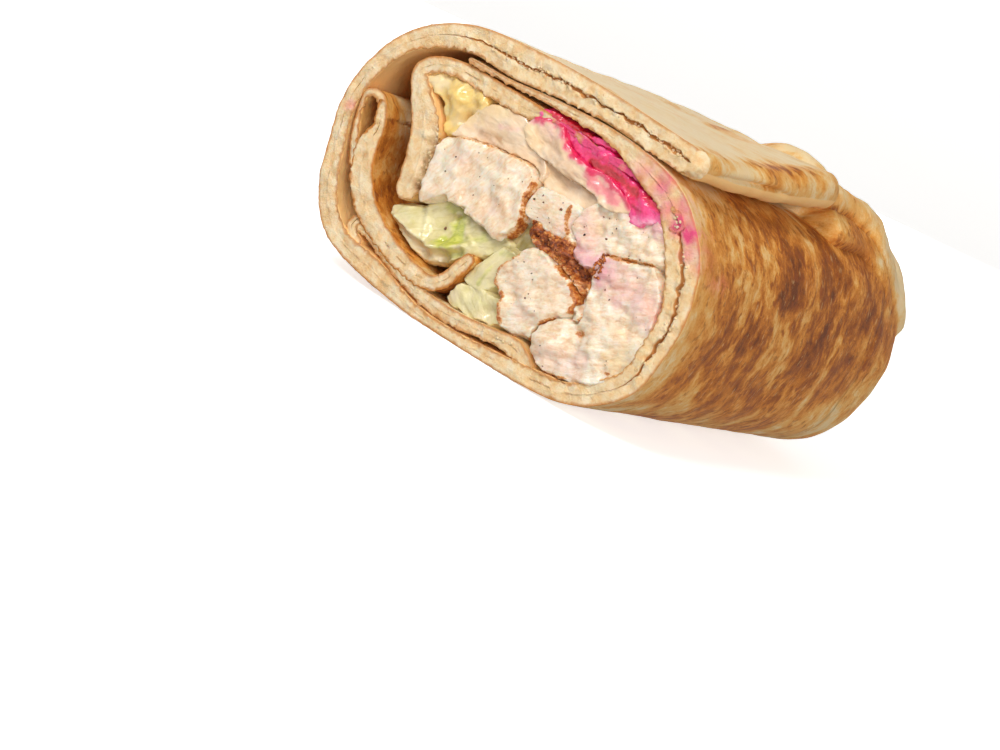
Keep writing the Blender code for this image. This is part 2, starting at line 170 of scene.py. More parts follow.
def toast_on_skin(points):
    """How browned the outside is: right side most, flap and left side least, and painted shade on the rim
    face.
    """
    x, depth, z = points.T
    on_flap = z > 43.5
    turn = np.degrees(np.arctan2((z - MIDDLE_Z) / HALF_HEIGHT, x / HALF_WIDTH))
    right = np.exp(-((turn + 5.0) / 68.0) ** 4) * np.where(on_flap, 0.0, 1.0)
    right *= np.interp(depth, (0.0, 3.0, 13.0, 42.0, 60.0, 80.0), (0.30, 0.48, 1.0, 1.0, 0.78, 0.42))
    right *= np.interp(turn, (-80.0, -45.0, -15.0, 15.0, 40.0), (0.50, 0.68, 1.0, 1.12, 1.0))
    left = 0.16 * hump(np.abs(turn) - 180.0, 40.0)
    under = 0.22 * hump(turn + 95.0, 40.0)
    rim = hump(x - 28.8, 1.5) * (z > 46.5) * np.interp(depth, (3, 12, 38, 46), (0.2, 1, 1, 0.3))
    rim *= held(0.42 + 1.4 * rough(points * (0.35, 1.0, 0.35), 1.2, seed=21))
    far_patch = 0.36 * hump(x - 20.0 + 0.32 * depth, 2.2) * hump(depth - 44.0, 9.0) * (z > 44.0)
    # The flap's rim face is darkened with extra browning: painted shade, as that face lies in shadow.
    rim_face = 0.18 * held((x - 25.0) / 6.0 + 0.35 * rough(points, 6.0, seed=24)) * on_flap
    rim_face *= held((54.0 - depth) / 6.0)
    return 0.10 + 0.48 * right + left + under + 0.40 * rim + rim_face + far_patch


def pink_stain(points, spots):
    """Juice soaked into the crumb: the strongest of soft round spots (x, depth, z, reach, strength)."""
    stain = np.zeros(len(points))
    wander = rough(points, 2.2, seed=5)
    for x, depth, z, reach, strength in spots:
        gap = np.linalg.norm((points - (x, depth, z)) * (1.0, 0.55, 1.0), axis=1) / reach
        stain = np.maximum(stain, strength * held(1.25 - gap + 0.45 * wander))
    return stain


def rolled_ply(name, route, toast_in, toast_out, spots=(), torn_spots=(), back=BREAD_END, set_back=0.0,
               step=0.45, flap=False):
    """A strip of dough rolled along its route: cut face with crumb and torn line, then the skin."""
    line = smooth_line([point + (0,) * (4 - len(point)) for point in route], step)
    middle, half, tear = line[:, :2], line[:, 2] / 2, line[:, 3]
    run = np.gradient(middle, axis=0)
    run /= np.linalg.norm(run, axis=1)[:, None]
    inward = np.column_stack([-run[:, 1], run[:, 0]])
    finer = 2 if flap else 1
    tip_turns = np.linspace(0, math.pi, max(5, int(half[-1] * math.pi / step) + 1))[1:-1]
    rim_turns = np.linspace(0, math.pi, max(5, int(half[0] * math.pi / step * finer) + 1))[1:-1]
    tip = [inward[-1] * math.cos(a) + run[-1] * math.sin(a) for a in tip_turns]
    rim = [-inward[0] * math.cos(a) - run[0] * math.sin(a) for a in rim_turns]
    count = len(line)
    order = np.concatenate([np.arange(count), np.full(len(tip), count - 1),
                            np.arange(count)[::-1], np.full(len(rim), 0)])
    at_rim = order == 0
    outward = np.vstack([inward, tip, -inward[::-1], rim])
    side = np.concatenate([np.ones(count), np.cos(tip_turns), -np.ones(count), -np.cos(rim_turns)])
    inside = np.where(side > 0, 1.0, 0.0)
    centre, half, tear = middle[order], half[order], tear[order]

    # rows: the torn line's bottom and wall, the cut face from it to the skin, then back along the skin
    deep = [1.0, 0.75, 0.4, 0.12]
    face = [0.0, 0.12, 0.26, 0.4, 0.54, 0.68, 0.8, 0.9, 0.97]
    depths = list(np.cumsum([0.22, 0.3, 0.4, 0.5, 0.6, 0.8, 1.0, 1.2]))
    depths += list(np.linspace(depths[-1] + ROW_STEP, back, max(2, round((back - depths[-1]) / ROW_STEP))))
    rows = ([("tear", d) for d in deep] + [("face", f) for f in face] + [("skin", d) for d in depths]
            + [("end", 0.5), ("end", 0.0)])
    jag = np.column_stack([centre, side * 3.0])
    ragged = 1.0 + 1.1 * rough(jag, 2.6, seed=3) + 0.7 * rough(jag, 0.8, seed=15)
    gap = 1.25 * tear * np.clip(ragged, 0.12, 2.6)
    wander = 1.6 * tear * rough(np.column_stack([centre, 0 * side]), 1.7, seed=14, octaves=3)
    wander *= np.sign(side)
    made, crumb, coarse, inset, toast = [], [], [], [], []
    for kind, value in rows:
        depth = value if kind == "skin" else back if kind == "end" else 0.0
        share = value if kind in ("face", "end") else 1.0 if kind == "skin" else 0.0
        at, swollen = centre.copy(), half
        if flap:
            along = np.where((order < count * 0.3) & (centre[:, 0] > 0), centre[:, 0] / FLAP_SPAN, 0.0)
            at[:, 0] -= along * np.interp(depth, RIM_DEPTHS, RIM_DRAWN_IN)
            at[:, 1] += along * np.interp(depth, RIM_DEPTHS, RIM_LIFTED)
            swollen = half + along ** 2 * np.interp(depth, RIM_DEPTHS, RIM_SWOLLEN)
            off = np.sum((centre - (SHOULDER_X, SHOULDER_Z)) ** 2, axis=1)
            shoulder = np.exp(-off / SHOULDER_REACH ** 2)
            shoulder *= (order > count * 0.4) * np.interp(depth, (15, 45, 66), (0, 1, 1))
            at += shoulder[:, None] * SHOULDER_SHIFT
        reach = swollen if kind == "skin" else gap + wander + (swollen - gap - wander) * share
        if kind == "tear":
            reach = wander + gap * (0.0 if value == 1.0 else 1.0 - 0.6 * value)
        if flap and kind == "skin":
            off_crease = side - np.interp(depth, RIM_DEPTHS, RIM_CREASE)
            crease = 0.9 * hump(off_crease, 0.11) - 0.35 * hump(off_crease + 0.35, 0.22)
            reach = reach - at_rim * crease * np.interp(depth, (3, 8, 25, 30), (0, 1, 1, 0))
            puff = 0.30 * rough(np.column_stack([side * 2.0, 0 * side + depth, 0 * side]), 3.2, seed=23)
            reach = reach + at_rim * puff * min(1.0, depth / 5.0)
        place = at + outward * reach[:, None]
        level = np.full(len(at), depth + set_back)
        if kind == "tear":
            level += np.minimum(tear / 0.3, 1.0) * value
        if flap:
            worn = held((share - 0.4) / 0.6) ** 2 if kind == "face" else math.exp(-depth / 1.5)
            level += at_rim * RIM_WORN * worn
        points = np.column_stack([place[:, 0], level, place[:, 1]])
        if kind in ("face", "tear"):
            torn = pink_stain(points, torn_spots)
            by_tear = np.minimum(tear / 0.25, 1.0) * max(0.0, 1.0 - share * 3.0)
            crumbly = ((0.13 + 0.6 * torn + 0.55 * by_tear) * rough(points, 0.9, seed=4, octaves=3)
                       + (0.34 + 0.4 * torn) * rough(points, 2.8, seed=6) + 0.7 * torn)
            points[:, 1] += np.where(kind == "face", crumbly * min(1.0, (1.0 - share) * 6 + 0.35), 0.0)
            bumps = (inside * 0.42 + 0.12) * share * rough(points, 0.9, seed=7, octaves=3)
        else:
            torn = np.zeros(len(at))
            bumps = 0.13 * rough(around_roll(points) * (0.8, 1.0, 0.8), 1.5, seed=8) * min(1.0, depth / 3)
        points[:, 0] += outward[:, 0] * bumps
        points[:, 2] += outward[:, 1] * bumps
        made.append(points)
        coarse.append(torn)
        # Torn-line rows carry crumb above 1, stronger deeper in: their golden brown is partly the parted
        # plies' browned walls, partly painted shade in the groove.
        parted = held(0.25 + tear / 0.15) * min(1.0, value * 2.5)
        crumb.append(1.0 + parted if kind == "tear" else np.full(len(at), float(kind == "face")))
        inset.append(half * (1.0 - share) + at_rim * flap if kind == "face" else half * (kind == "tear"))
        toast.append(np.where(side > 0, toast_in, toast_out(points) if callable(toast_out) else toast_out))
    made = np.array(made)
    shape = made.shape[:2]
    flat = unevenness(made.reshape(-1, 3))
    piece = dough(name, flat.reshape(made.shape), {
        "crumb": np.array(crumb), "inset": np.array(inset), "toast": np.array(toast),
        "inner": np.tile(inside, (len(made), 1)), "coarse": np.array(coarse),
        "pink": pink_stain(flat, spots).reshape(shape), "around": around_roll(flat).reshape(made.shape)})
    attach(piece, "root")
    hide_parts("flatbread")
    return piece


def colour(red, green, blue):
    """A colour given in the 0 to 255 steps of a screen, as the shader's linear one."""
    return tuple(c / 12.92 if c <= 0.04045 else ((c + 0.055) / 1.055) ** 2.4
                 for c in (red / 255, green / 255, blue / 255)) + (1.0,)


class Shade:
    """A socket in a material; arithmetic on it adds the Math nodes."""

    def __init__(self, tree, socket=None):
        self.tree, self.socket = tree, socket

    def node(self, kind, settings, sockets, out=0):
        """Any node: its type, its settings (a ramp's as stops), its sockets' values or links."""
        made = self.tree.nodes.new(kind)
        for key, value in settings.items():
            if key == "stops":
                ramp = made.color_ramp
                while len(ramp.elements) < len(value):
                    ramp.elements.new(0.5)
                for element, (place, *steps) in zip(ramp.elements, value):
                    element.position, element.color = place, colour(*steps)
            else:
                setattr(made, key, value)
        for key, value in sockets.items():
            if isinstance(value, Shade):
                self.tree.links.new(value.socket, made.inputs[key])
            else:
                made.inputs[key].default_value = value
        return Shade(self.tree, made.outputs[out])

    def math(self, operation, *values):
        return self.node("ShaderNodeMath", {"operation": operation}, dict(enumerate(values)))

    def __add__(self, other):
        return self.math("ADD", self, other)

    def __sub__(self, other):
        return self.math("SUBTRACT", self, other)

    def __mul__(self, other):
        return self.math("MULTIPLY", self, other)

    def __rsub__(self, other):
        return self.math("SUBTRACT", other, self)

    __radd__, __rmul__ = __add__, __mul__

    def step(self, low, high):
        """0 below low, 1 above high, smooth between."""
        return self.node("ShaderNodeMapRange", {"interpolation_type": "SMOOTHSTEP"},
                         {"Value": self, "From Min": low, "From Max": high})

    def mix(self, first, second):
        """First colour where this is 0, second where it is 1; a plain one in a screen's steps."""
        if isinstance(second, tuple):
            second = colour(*second)
        return self.node("ShaderNodeMix", {"data_type": "RGBA"}, {0: self, 6: first, 7: second}, out=2)

    def ramp(self, *stops):
        """Colours for values: each stop a value and a colour in a screen's steps."""
        return self.node("ShaderNodeValToRGB", {"stops": stops}, {"Fac": self})

    def fact(self, name, out="Fac"):
        """A value stored on the piece's points."""
        return self.node("ShaderNodeAttribute", {"attribute_name": name}, {}, out=out)

    def place(self, size, stretch=(1, 1, 1), of=None):
        """Coordinates in mm, divided by a size; Object ones unless others are given."""
        if of is None:
            of = self.node("ShaderNodeTexCoord", {}, {}, out="Object")
            stretch = tuple(1000.0 * s for s in stretch)
        return self.node("ShaderNodeMapping", {},
                         {"Vector": of, "Scale": tuple(s / size for s in stretch)})

    def noise(self, size, stretch=(1, 1, 1), of=None, detail=4.0, roughness=0.55, warp=0.0):
        """Noise from 0 to 1 with lumps of a size in mm."""
        return self.node("ShaderNodeTexNoise", {},
                         {"Vector": self.place(size, stretch, of), "Scale": 1.0, "Detail": detail,
                          "Roughness": roughness, "Distortion": warp})

    def cells(self, size):
        """How far each point is from the nearest of many scattered about a size apart, in mm."""
        return self.node("ShaderNodeTexVoronoi", {}, {"Vector": self.place(size), "Scale": 1.0},
                         out="Distance")

    def bump(self, height, distance, strength=1.0, normal=None):
        """Relief of a height from 0 to 1 over a distance in mm."""
        sockets = {"Height": height, "Distance": distance * 0.001, "Strength": strength}
        if normal:
            sockets["Normal"] = normal
        return self.node("ShaderNodeBump", {}, sockets)


def finish_material(name, constants):
    """An empty material: its Shade to start from and its Principled shader."""
    material = bpy.data.materials.new(name)
    material.use_nodes = True
    surface = material.node_tree.nodes["Principled BSDF"]
    for key, value in constants.items():
        surface.inputs[key].default_value = value
    return material, Shade(material.node_tree), surface


def set_sockets(shade, surface, **sockets):
    """Link the shader's varying sockets, named with underscores for spaces."""
    for key, value in sockets.items():
        shade.tree.links.new(value.socket, surface.inputs[key.replace("_", " ")])


bread, shade, surface = finish_material("toasted_bread", {
    "Specular IOR Level": 0.25, "Subsurface Weight": 0.18, "Subsurface Radius": (1.0, 0.5, 0.25),
    "Subsurface Scale": 0.0018})
around = shade.fact("around", "Vector")
toast, crumb, inset = shade.fact("toast"), shade.fact("crumb"), shade.fact("inset")
inner, pink, coarse = shade.fact("inner"), shade.fact("pink"), shade.fact("coarse")
patches = shade.noise(9.0, (2.4, 1.0, 2.4), of=around, detail=2.0, roughness=0.5, warp=0.4)
mottle = shade.noise(2.7, (2.5, 1.0, 2.5), of=around, detail=5.0, roughness=0.62, warp=0.5)
streaks = shade.noise(1.0, (1.9, 1.0, 1.9), of=around, detail=4.0, roughness=0.62, warp=0.4)
scratches = shade.noise(0.55, (1.1, 1.0, 1.1), of=around, detail=2.0, warp=0.4)
spots = shade.noise(1.25, (2.5, 1.0, 2.5), of=around, detail=1.5, roughness=0.5, warp=0.3)
grain = shade.noise(0.35, detail=3.0, roughness=0.7)
browning = (toast + (patches - 0.5) * (1.7 * toast + 0.40) + (mottle - 0.5) * (1.6 * toast + 0.20)
            + (streaks - 0.5) * (0.65 * toast + 0.24) + (grain - 0.5) * (0.12 + 0.30 * toast))
browning = shade.math("MAXIMUM", browning, toast * 0.42 + (streaks - 0.5) * 0.30)
skin_colour = browning.ramp(
    (0, 240, 216, 174), (0.15, 236, 204, 150), (0.27, 231, 177, 100),
    (0.39, 220, 150, 66), (0.52, 197, 118, 38), (0.7, 154, 84, 22),
    (0.9, 106, 52, 14))
spot = spots.step(0.57, 0.66) * (browning * 1.5 - 0.28).step(0.0, 0.5) * 0.70
skin_colour = spot.mix(skin_colour, (140, 70, 22))
pale_line = scratches.step(0.60, 0.74) * (toast.step(0.15, 0.6) * 0.22 + 0.20)
skin_colour = pale_line.mix(skin_colour, (236, 196, 134))
# Pale inner faces of the plies get a bright warm gold: painted glow of light bouncing in the pockets
# between them.
skin_colour = (inner * (0.32 - toast).step(0.0, 0.14) * 0.85).mix(skin_colour, (255, 204, 132))
crumb_tone = shade.noise(1.9, detail=6.0, roughness=0.7)
pits = shade.noise(0.85, detail=2.0, roughness=0.6).step(0.66, 0.76)
crumb_colour = crumb_tone.ramp((0.3, 240, 192, 132), (0.46, 247, 212, 160),
                               (0.62, 253, 230, 192))
# Pores in the crumb are painted a darker tan: painted shade in the holes.
crumb_colour = (pits * 0.45).mix(crumb_colour, (212, 160, 98))
crumb_colour = (coarse * 0.8).mix(crumb_colour, crumb_tone.ramp(
    (0.36, 150, 102, 56), (0.52, 200, 156, 104), (0.66, 232, 200, 154)))
rim_line = (1 - (inset + (streaks - 0.5) * 0.8).step(0.08, 0.70)) * (0.66 + toast * 0.8)
crumb_colour = rim_line.mix(crumb_colour, (204, 128, 52))
# Torn line: golden brown, partly the browned walls between the plies and partly painted shade deep in the
# groove.
crumb_colour = ((crumb - 1).step(0.1, 1.0) * 0.9).mix(crumb_colour, (206, 138, 66))
cut_face = crumb.step(0.4, 0.6)
bread_colour = cut_face.mix(skin_colour, crumb_colour)
on_skin = (1 - cut_face) * (1 - inner)
stain = pink * (0.05 + crumb_tone * 1.4) * (1 - on_skin * (0.45 + 0.55 * streaks.step(0.44, 0.62)))
bread_colour = stain.mix(bread_colour, (238, 84, 132))
wrinkles = mottle * 0.4 + streaks * 0.4 + scratches * 0.2
crumb_relief = crumb_tone * 0.5 + grain * 0.2 - pits * 0.2
relief = shade.bump(cut_face * (crumb_relief - wrinkles) + wrinkles, 0.50, 0.9)
relief = shade.bump(grain, 0.16, 0.9, normal=relief)
set_sockets(shade, surface, Base_Color=bread_colour, Normal=relief,
            Roughness=0.80 - patches * 0.24)

# Where pickle juice has soaked in: x, depth, z, reach, strength
PINK_SPOTS = (
    (29, 0, 37.6, 1.9, 1), (31.8, 0, 35.6, 2, 1.1), (34.6, 0, 35.4, 2.2, 1.2),
    (37, 0.4, 34.4, 2.3, 0.62), (36.6, 0, 36.2, 1.8, 0.55), (38.4, 0, 31.6, 1.5, 0.4),
    (26, 0, 40.6, 2.6, 0.85), (31, 0, 38.4, 2.8, 0.78), (21.5, 0, 41.4, 2.6, 0.55),
    (33.6, 0, 36.2, 2.4, 1), (35.6, 0, 33.4, 1.9, 0.7), (38.7, 2, 33.2, 1.8, 0.5),
    (39.3, 5.5, 30.2, 1.9, 0.55), (-39.6, 0, 26.8, 1.2, 0.6), (-36, 0, 33.2, 0.9, 0.35))
outer_turn = rolled_ply("outer_turn", OUTER_TURN, 0.16, toast_on_skin, PINK_SPOTS, flap=True)
outer_turn.data.materials.append(bread)

# ---- Inner plies -------------------------------------------------------------------------------
# The rest of the same loaf, rolled up inside: the ply that turns down at the left of the filling,
# the toasted curl round the lettuce with its folded tip, and the thin ply on the base. Each route is
# x, z, thickness.
INNER_TURN = (
    (21, 40.6, 2.6), (14, 40.2, 1.2), (7, 41, 1.1), (1, 41.55, 1), (-4, 41, 2.9), (-12, 41.2, 3.2),
    (-20, 41.5, 2.9), (-25.5, 40.5, 3), (-28.6, 38, 3.2), (-26.4, 34.6, 4.4), (-22.9, 30, 5.8),
    (-21.1, 25, 6.1), (-20.65, 21, 5.8), (-20.9, 19.2, 4.6))
CURL = (
    (-2.6, 13.5, 2.6), (-3.6, 11.8, 2.7), (-5, 9, 2.8), (-8, 6.9, 2.7), (-13, 7.1, 3.4), (-20, 8.9, 3.9),
    (-26.9, 12.4, 4.7), (-30.7, 16.8, 4.9), (-32.3, 21.5, 4.8), (-31.8, 26, 2.9), (-33, 29.6, 1.9))
CURL_FOLD = (
    (-31.9, 28, 2), (-34.2, 30.7, 1.6), (-37.2, 30.2, 1.3), (-37.2, 26.6, 1.1), (-35.7, 22, 1.8),
    (-33.6, 18.6, 2.4))
BASE_PLY = (
    (17.2, 3.4, 2.4), (13.5, 4.9, 3.2), (8, 4.7, 2.5), (2, 3.95, 2.6), (-5, 3.8, 2.7), (-12, 4.8, 2.1),
    (-19, 6.6, 1.5), (-24.2, 8.6, 1.6), (-26.6, 8.7, 1.6))
BASE_FOLD = (
    (-28, 9.9, 1.8), (-28.5, 8.4, 2.4), (-27.6, 7, 2.5), (-26, 6.2, 2.2))
CURLET = (
    (29.6, 37.9, 0.7), (31.2, 37.5, 0.9), (32.3, 36.4, 0.9), (32, 35.3, 0.8), (31, 35.2, 0.6))
PICKLE_STAIN = (
    (20, 0, 40, 4.5, 1.7), (15, 0, 40.3, 3.5, 1.7), (10, 0, 40.6, 3.5, 1.7), (4, 0, 41.3, 3, 1.6))
# The inner turn ends worn and crumbling beside the chicken: its x at mid-height, and how it leans.
WORN_X, WORN_LEAN = -18.6, 0.12
WORN_SPOTS = tuple((WORN_X - WORN_LEAN * (z - MIDDLE_Z), 0.4, z, 1.9, 1.0)
                   for z in (20, 22.5, 25, 27.5, 30))


def toast_on_curl(points):
    """The curl's face towards the filling: browned at its middle, pale at its tip and on the base."""
    heights, browned = (6.0, 11.0, 17.0, 24.0, 28.5, 31.0), (0.24, 0.34, 0.44, 0.40, 0.28, 0.20)
    return np.interp(points[:, 2], heights, browned)


inner_plies = [
    rolled_ply("inner_turn", INNER_TURN, 0.14, 0.32, PICKLE_STAIN, WORN_SPOTS, set_back=0.35, step=0.4),
    rolled_ply("curl", CURL, 0.52, toast_on_curl, set_back=0.15, step=0.4),
    rolled_ply("curl_tip", CURL_FOLD, 0.26, toast_on_curl, set_back=0.3, step=0.35),
    rolled_ply("base_ply", BASE_PLY, 0.15, 0.20, set_back=0.25, step=0.4),
    rolled_ply("base_fold", BASE_FOLD, 0.20, 0.28, back=16.0, set_back=0.5, step=0.35),
    rolled_ply("pink_curlet", CURLET, 0.15, 0.15, ((31.5, 0, 36.5, 2.4, 1.1),), back=8.0, set_back=-0.2,
               step=0.3)]
for ply in inner_plies:
    ply.data.materials.append(bread)

# ---- Folded end --------------------------------------------------------------------------------
# The loaf's sides were folded in before rolling, so the far end is closed: one rounded skin that
# comes out from under the flap in a thick fold, with the lips of folded-in bread lying on it.
END_OUTLINE = (
    (-8, 50), (4, 50.4), (14, 50.9), (21.5, 50.4), (27.5, 48), (33, 44.2), (37.4, 39.2), (40, 32.4),
    (40.8, 24), (39.7, 15), (36.5, 7.6), (30, 2.7), (20, 0.4), (0, 0.05), (-14, 0.5), (-28, 3),
    (-35.5, 7.2), (-39.9, 15.5), (-41.7, 27), (-39.5, 36.2), (-33, 44.2), (-22, 49.5))
END_START, END_LAST_RING, RING_STEP = 42.0, 69.5, 0.75
# The end closes over the last fifth of the length: how square its corners and how blunt its nose are.
CLOSING, SQUARE, BLUNT = 0.8, 0.36, 2.3
# The thick fold's edge across the top: how deep it lies and how high it stands at each x, and its
# section behind that edge.
FOLD_X = (-14, -4, 4, 8, 11, 14, 18, 22, 26, 29, 32)
FOLD_DEPTH = (62.5, 60, 55.5, 51, 48, 46.4, 45.8, 45.8, 46, 46, 45)
FOLD_HEIGHT = (0.1, 0.15, 0.2, 0.4, 0.8, 1.15, 1.25, 1.2, 0.95, 0.5, 0)
FOLD_RUN = (-3, -1.4, -0.5, 0.2, 1.2, 2.6, 4.2, 5.8, 7.4, 9.5)
FOLD_RISE = (-6, -5, -2.6, 0.4, 2.3, 3.4, 3.6, 2.7, 1.1, 0)
# Each lip: height, width, how softly its back falls, how sunk the dough lies in front of it, its
# browning, which way its back faces, and its front edge's line (x, depth, z).
LIPS = (
    (2.5, 5.8, 2.2, 2.2, 0.36, 0, (
        (33.4, 40, 42.2), (34.2, 46, 41.5), (34.4, 51, 41.4), (35.2, 55.4, 41.2), (36.6, 58, 40.4),
        (37.8, 60.6, 38.8), (38.8, 63.6, 36.2), (39.8, 67, 31.5), (40.2, 70, 26))),
    (4, 4, 7, 0, 0.18, 0, (
        (28, 45, 46.6), (29.6, 49.9, 46.6), (30.6, 55, 46.3), (32, 59, 45.4), (34, 61.2, 44.4),
        (36, 63, 42.8), (37.6, 65.4, 39.6), (38.6, 69, 34), (39, 73, 27), (38.6, 76, 20))),
    (1.8, 6, 6, 0, 0.2, -1, (
        (-36, 72, 33), (-26, 80, 26.5), (-10, 84, 20), (6, 84.5, 15.5), (20, 83, 12.5), (31, 78, 9))),
    (2.2, 6, 6, 0, 0.16, 1, (
        (36, 76, 30), (26, 81.5, 34), (12, 83.8, 37), (-4, 83.4, 38.5), (-19, 80, 39.5), (-31, 72, 40))))

outline = smooth_line(END_OUTLINE, 0.6, closed=True)
stations = [(depth, 1.0) for depth in np.arange(END_START, END_LAST_RING, RING_STEP)]
for share in np.linspace(0.04, 1.0, 62):
    close = 1.0 - share ** 1.6
    nose = (1.0 - close ** (1 / SQUARE)) ** (1 / BLUNT)
    stations.append((LENGTH * (CLOSING + (1.0 - CLOSING) * nose), close))
corner = held(outline[:, 0] / 40.0) * held((outline[:, 1] - MIDDLE_Z) / HALF_HEIGHT)
rings = []
for depth, close in stations:
    size = (0.968 + 0.038 * held((depth - 55.0) / 8.0) ** 2) * close
    size = size * (1.0 - 0.08 * corner * held((depth - 60.0) / 12.0))
    rings.append(np.column_stack([outline[:, 0] * size, np.full(len(outline), depth),
                                  MIDDLE_Z + (outline[:, 1] - MIDDLE_Z) * size]))
rings = np.array(rings)
flat = rings.reshape(-1, 3)
path = np.cumsum(np.append(0.0, np.linalg.norm(np.diff(rings, axis=0), axis=2).mean(axis=1)))
from_fold = flat[:, 1] - np.interp(flat[:, 0], FOLD_X, FOLD_DEPTH) + 0.5 * rough(flat, 5.0, seed=12)
on_top = held((flat[:, 2] - 35.0) / 9.0) * held((flat[:, 0] + 26.0) / 14.0)
fold_rise = np.interp(from_fold, FOLD_RUN, FOLD_RISE) * on_top
fold_rise *= np.where(fold_rise > 0, np.interp(flat[:, 0], FOLD_X, FOLD_HEIGHT), 1.0)
push = (flat - (0.0, 44.0, MIDDLE_Z)) / (44.0, 80.0, 26.0)
push /= np.linalg.norm(push, axis=1)[:, None]
lift = 0.10 * rough(around_roll(flat), 1.5, seed=8)
gathers = 0.55 * rough(around_roll(flat) * (1.0, 0.35, 1.0), 3.2, seed=11)
lift += gathers * held((flat[:, 1] - 66.0) / 14.0)
toast = toast_on_skin(flat)
toast += 0.30 * hump(from_fold - 2.0, 2.4) * on_top * hump(flat[:, 0] - 12.0, 5.0)
toast += 0.22 * hump(from_fold - 6.0, 4.0) * on_top * hump(flat[:, 0] - 23.0, 3.5)
bulge = fold_rise
for height, width, tail, sunk, browned, facing, route in LIPS:
    edge = smooth_line(route, 0.8)
    run = np.gradient(edge, axis=0)
    run /= np.linalg.norm(run, axis=1)[:, None]
    nearest = np.array([np.argmin(np.sum((edge - point) ** 2, axis=1)) for point in flat])
    gap = flat - edge[nearest]
    behind = np.cross(push, run[nearest])
    behind /= np.maximum(np.linalg.norm(behind, axis=1), 0.01)[:, None]
    faces = behind[:, 2] * facing if facing else behind[:, 1] + behind[:, 2]
    behind *= np.where(faces < 0, -1.0, 1.0)[:, None]
    along = np.sum(gap * run[nearest], axis=1)
    off = np.sum(gap * behind, axis=1) + 0.3 * rough(flat, 3.0, seed=13)
    share = nearest / (len(edge) - 1.0)
    swell = np.interp(share, (0.0, 0.14, 0.38, 0.56, 0.72, 0.95), (0.75, 1.0, 0.86, 0.42, 0.18, 0.0))
    swell *= held(1.5 - np.abs(along) / 2.0)
    swell *= held(1.0 - (np.linalg.norm(gap, axis=1) - width - tail) / 6.0)
    rounding = 1.0 - held(off / height)
    falling = held((off - width) / tail)
    profile = np.sqrt(1.0 - rounding ** 2) * (1.0 - falling ** 2 * (3.0 - 2.0 * falling))
    crease = 0.5 * hump(off + 0.1, 0.6)
    rise = swell * height * profile
    bulge = np.where(bulge < 0, bulge + rise, np.maximum(bulge, rise))
    lift -= swell * (crease + sunk * held(-off / 1.5))
    over = held(off / 0.8) * held(2.0 - 1.6 * falling) * held(swell * 3.0)
    # A browner line along each lip's front edge is painted shade in the crease there.
    toast = toast * (1.0 - over) + browned * over + 0.10 * hump(off - 0.1, 0.5) * swell
flat = unevenness(flat + push * (lift + bulge)[:, None])
streaked = around_roll(flat)
streaked[:, 1] = np.repeat(path, len(outline)) + END_START
zero = np.zeros(rings.shape[:2])
folded_end = dough("folded_end", flat.reshape(rings.shape), {
    "crumb": zero, "inset": zero, "inner": zero, "pink": zero, "coarse": zero,
    "toast": toast.reshape(zero.shape), "around": streaked.reshape(rings.shape)})
folded_end.data.materials.append(bread)
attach(folded_end, "root")
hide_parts("flatbread")

# ---- Chicken -----------------------------------------------------------------------------------
# Pieces of grilled chicken breast, cut through with the wrap: moist pale meat whose fibres show,
# golden-brown where an edge met the grill. Each runs back into the roll behind its cut face.
# The mesh is even cells to this depth; behind it the cells are drawn out, as nothing there shows.
FINE_DEPTH, SQUEEZE, FILLING_END = 5.0, 12.0, 64.0


def marked(points, marks, seed):
    """How strongly each point is marked: soft bands (reach, strength, then points of the cut face)."""
    mask = np.zeros(len(points))
    wander = rough(points, 1.6, seed=seed, octaves=3)
    face = points[:, [0, 2]]
    for reach, strength, *line in marks:
        spots = smooth_line(line, 0.5) if len(line) > 1 else np.array(line, float)
        gap = np.min(np.linalg.norm(face[:, None, :] - spots[None], axis=2), axis=1) / reach
        mask = np.maximum(mask, strength * held(1.3 - gap + 0.55 * wander))
    return mask


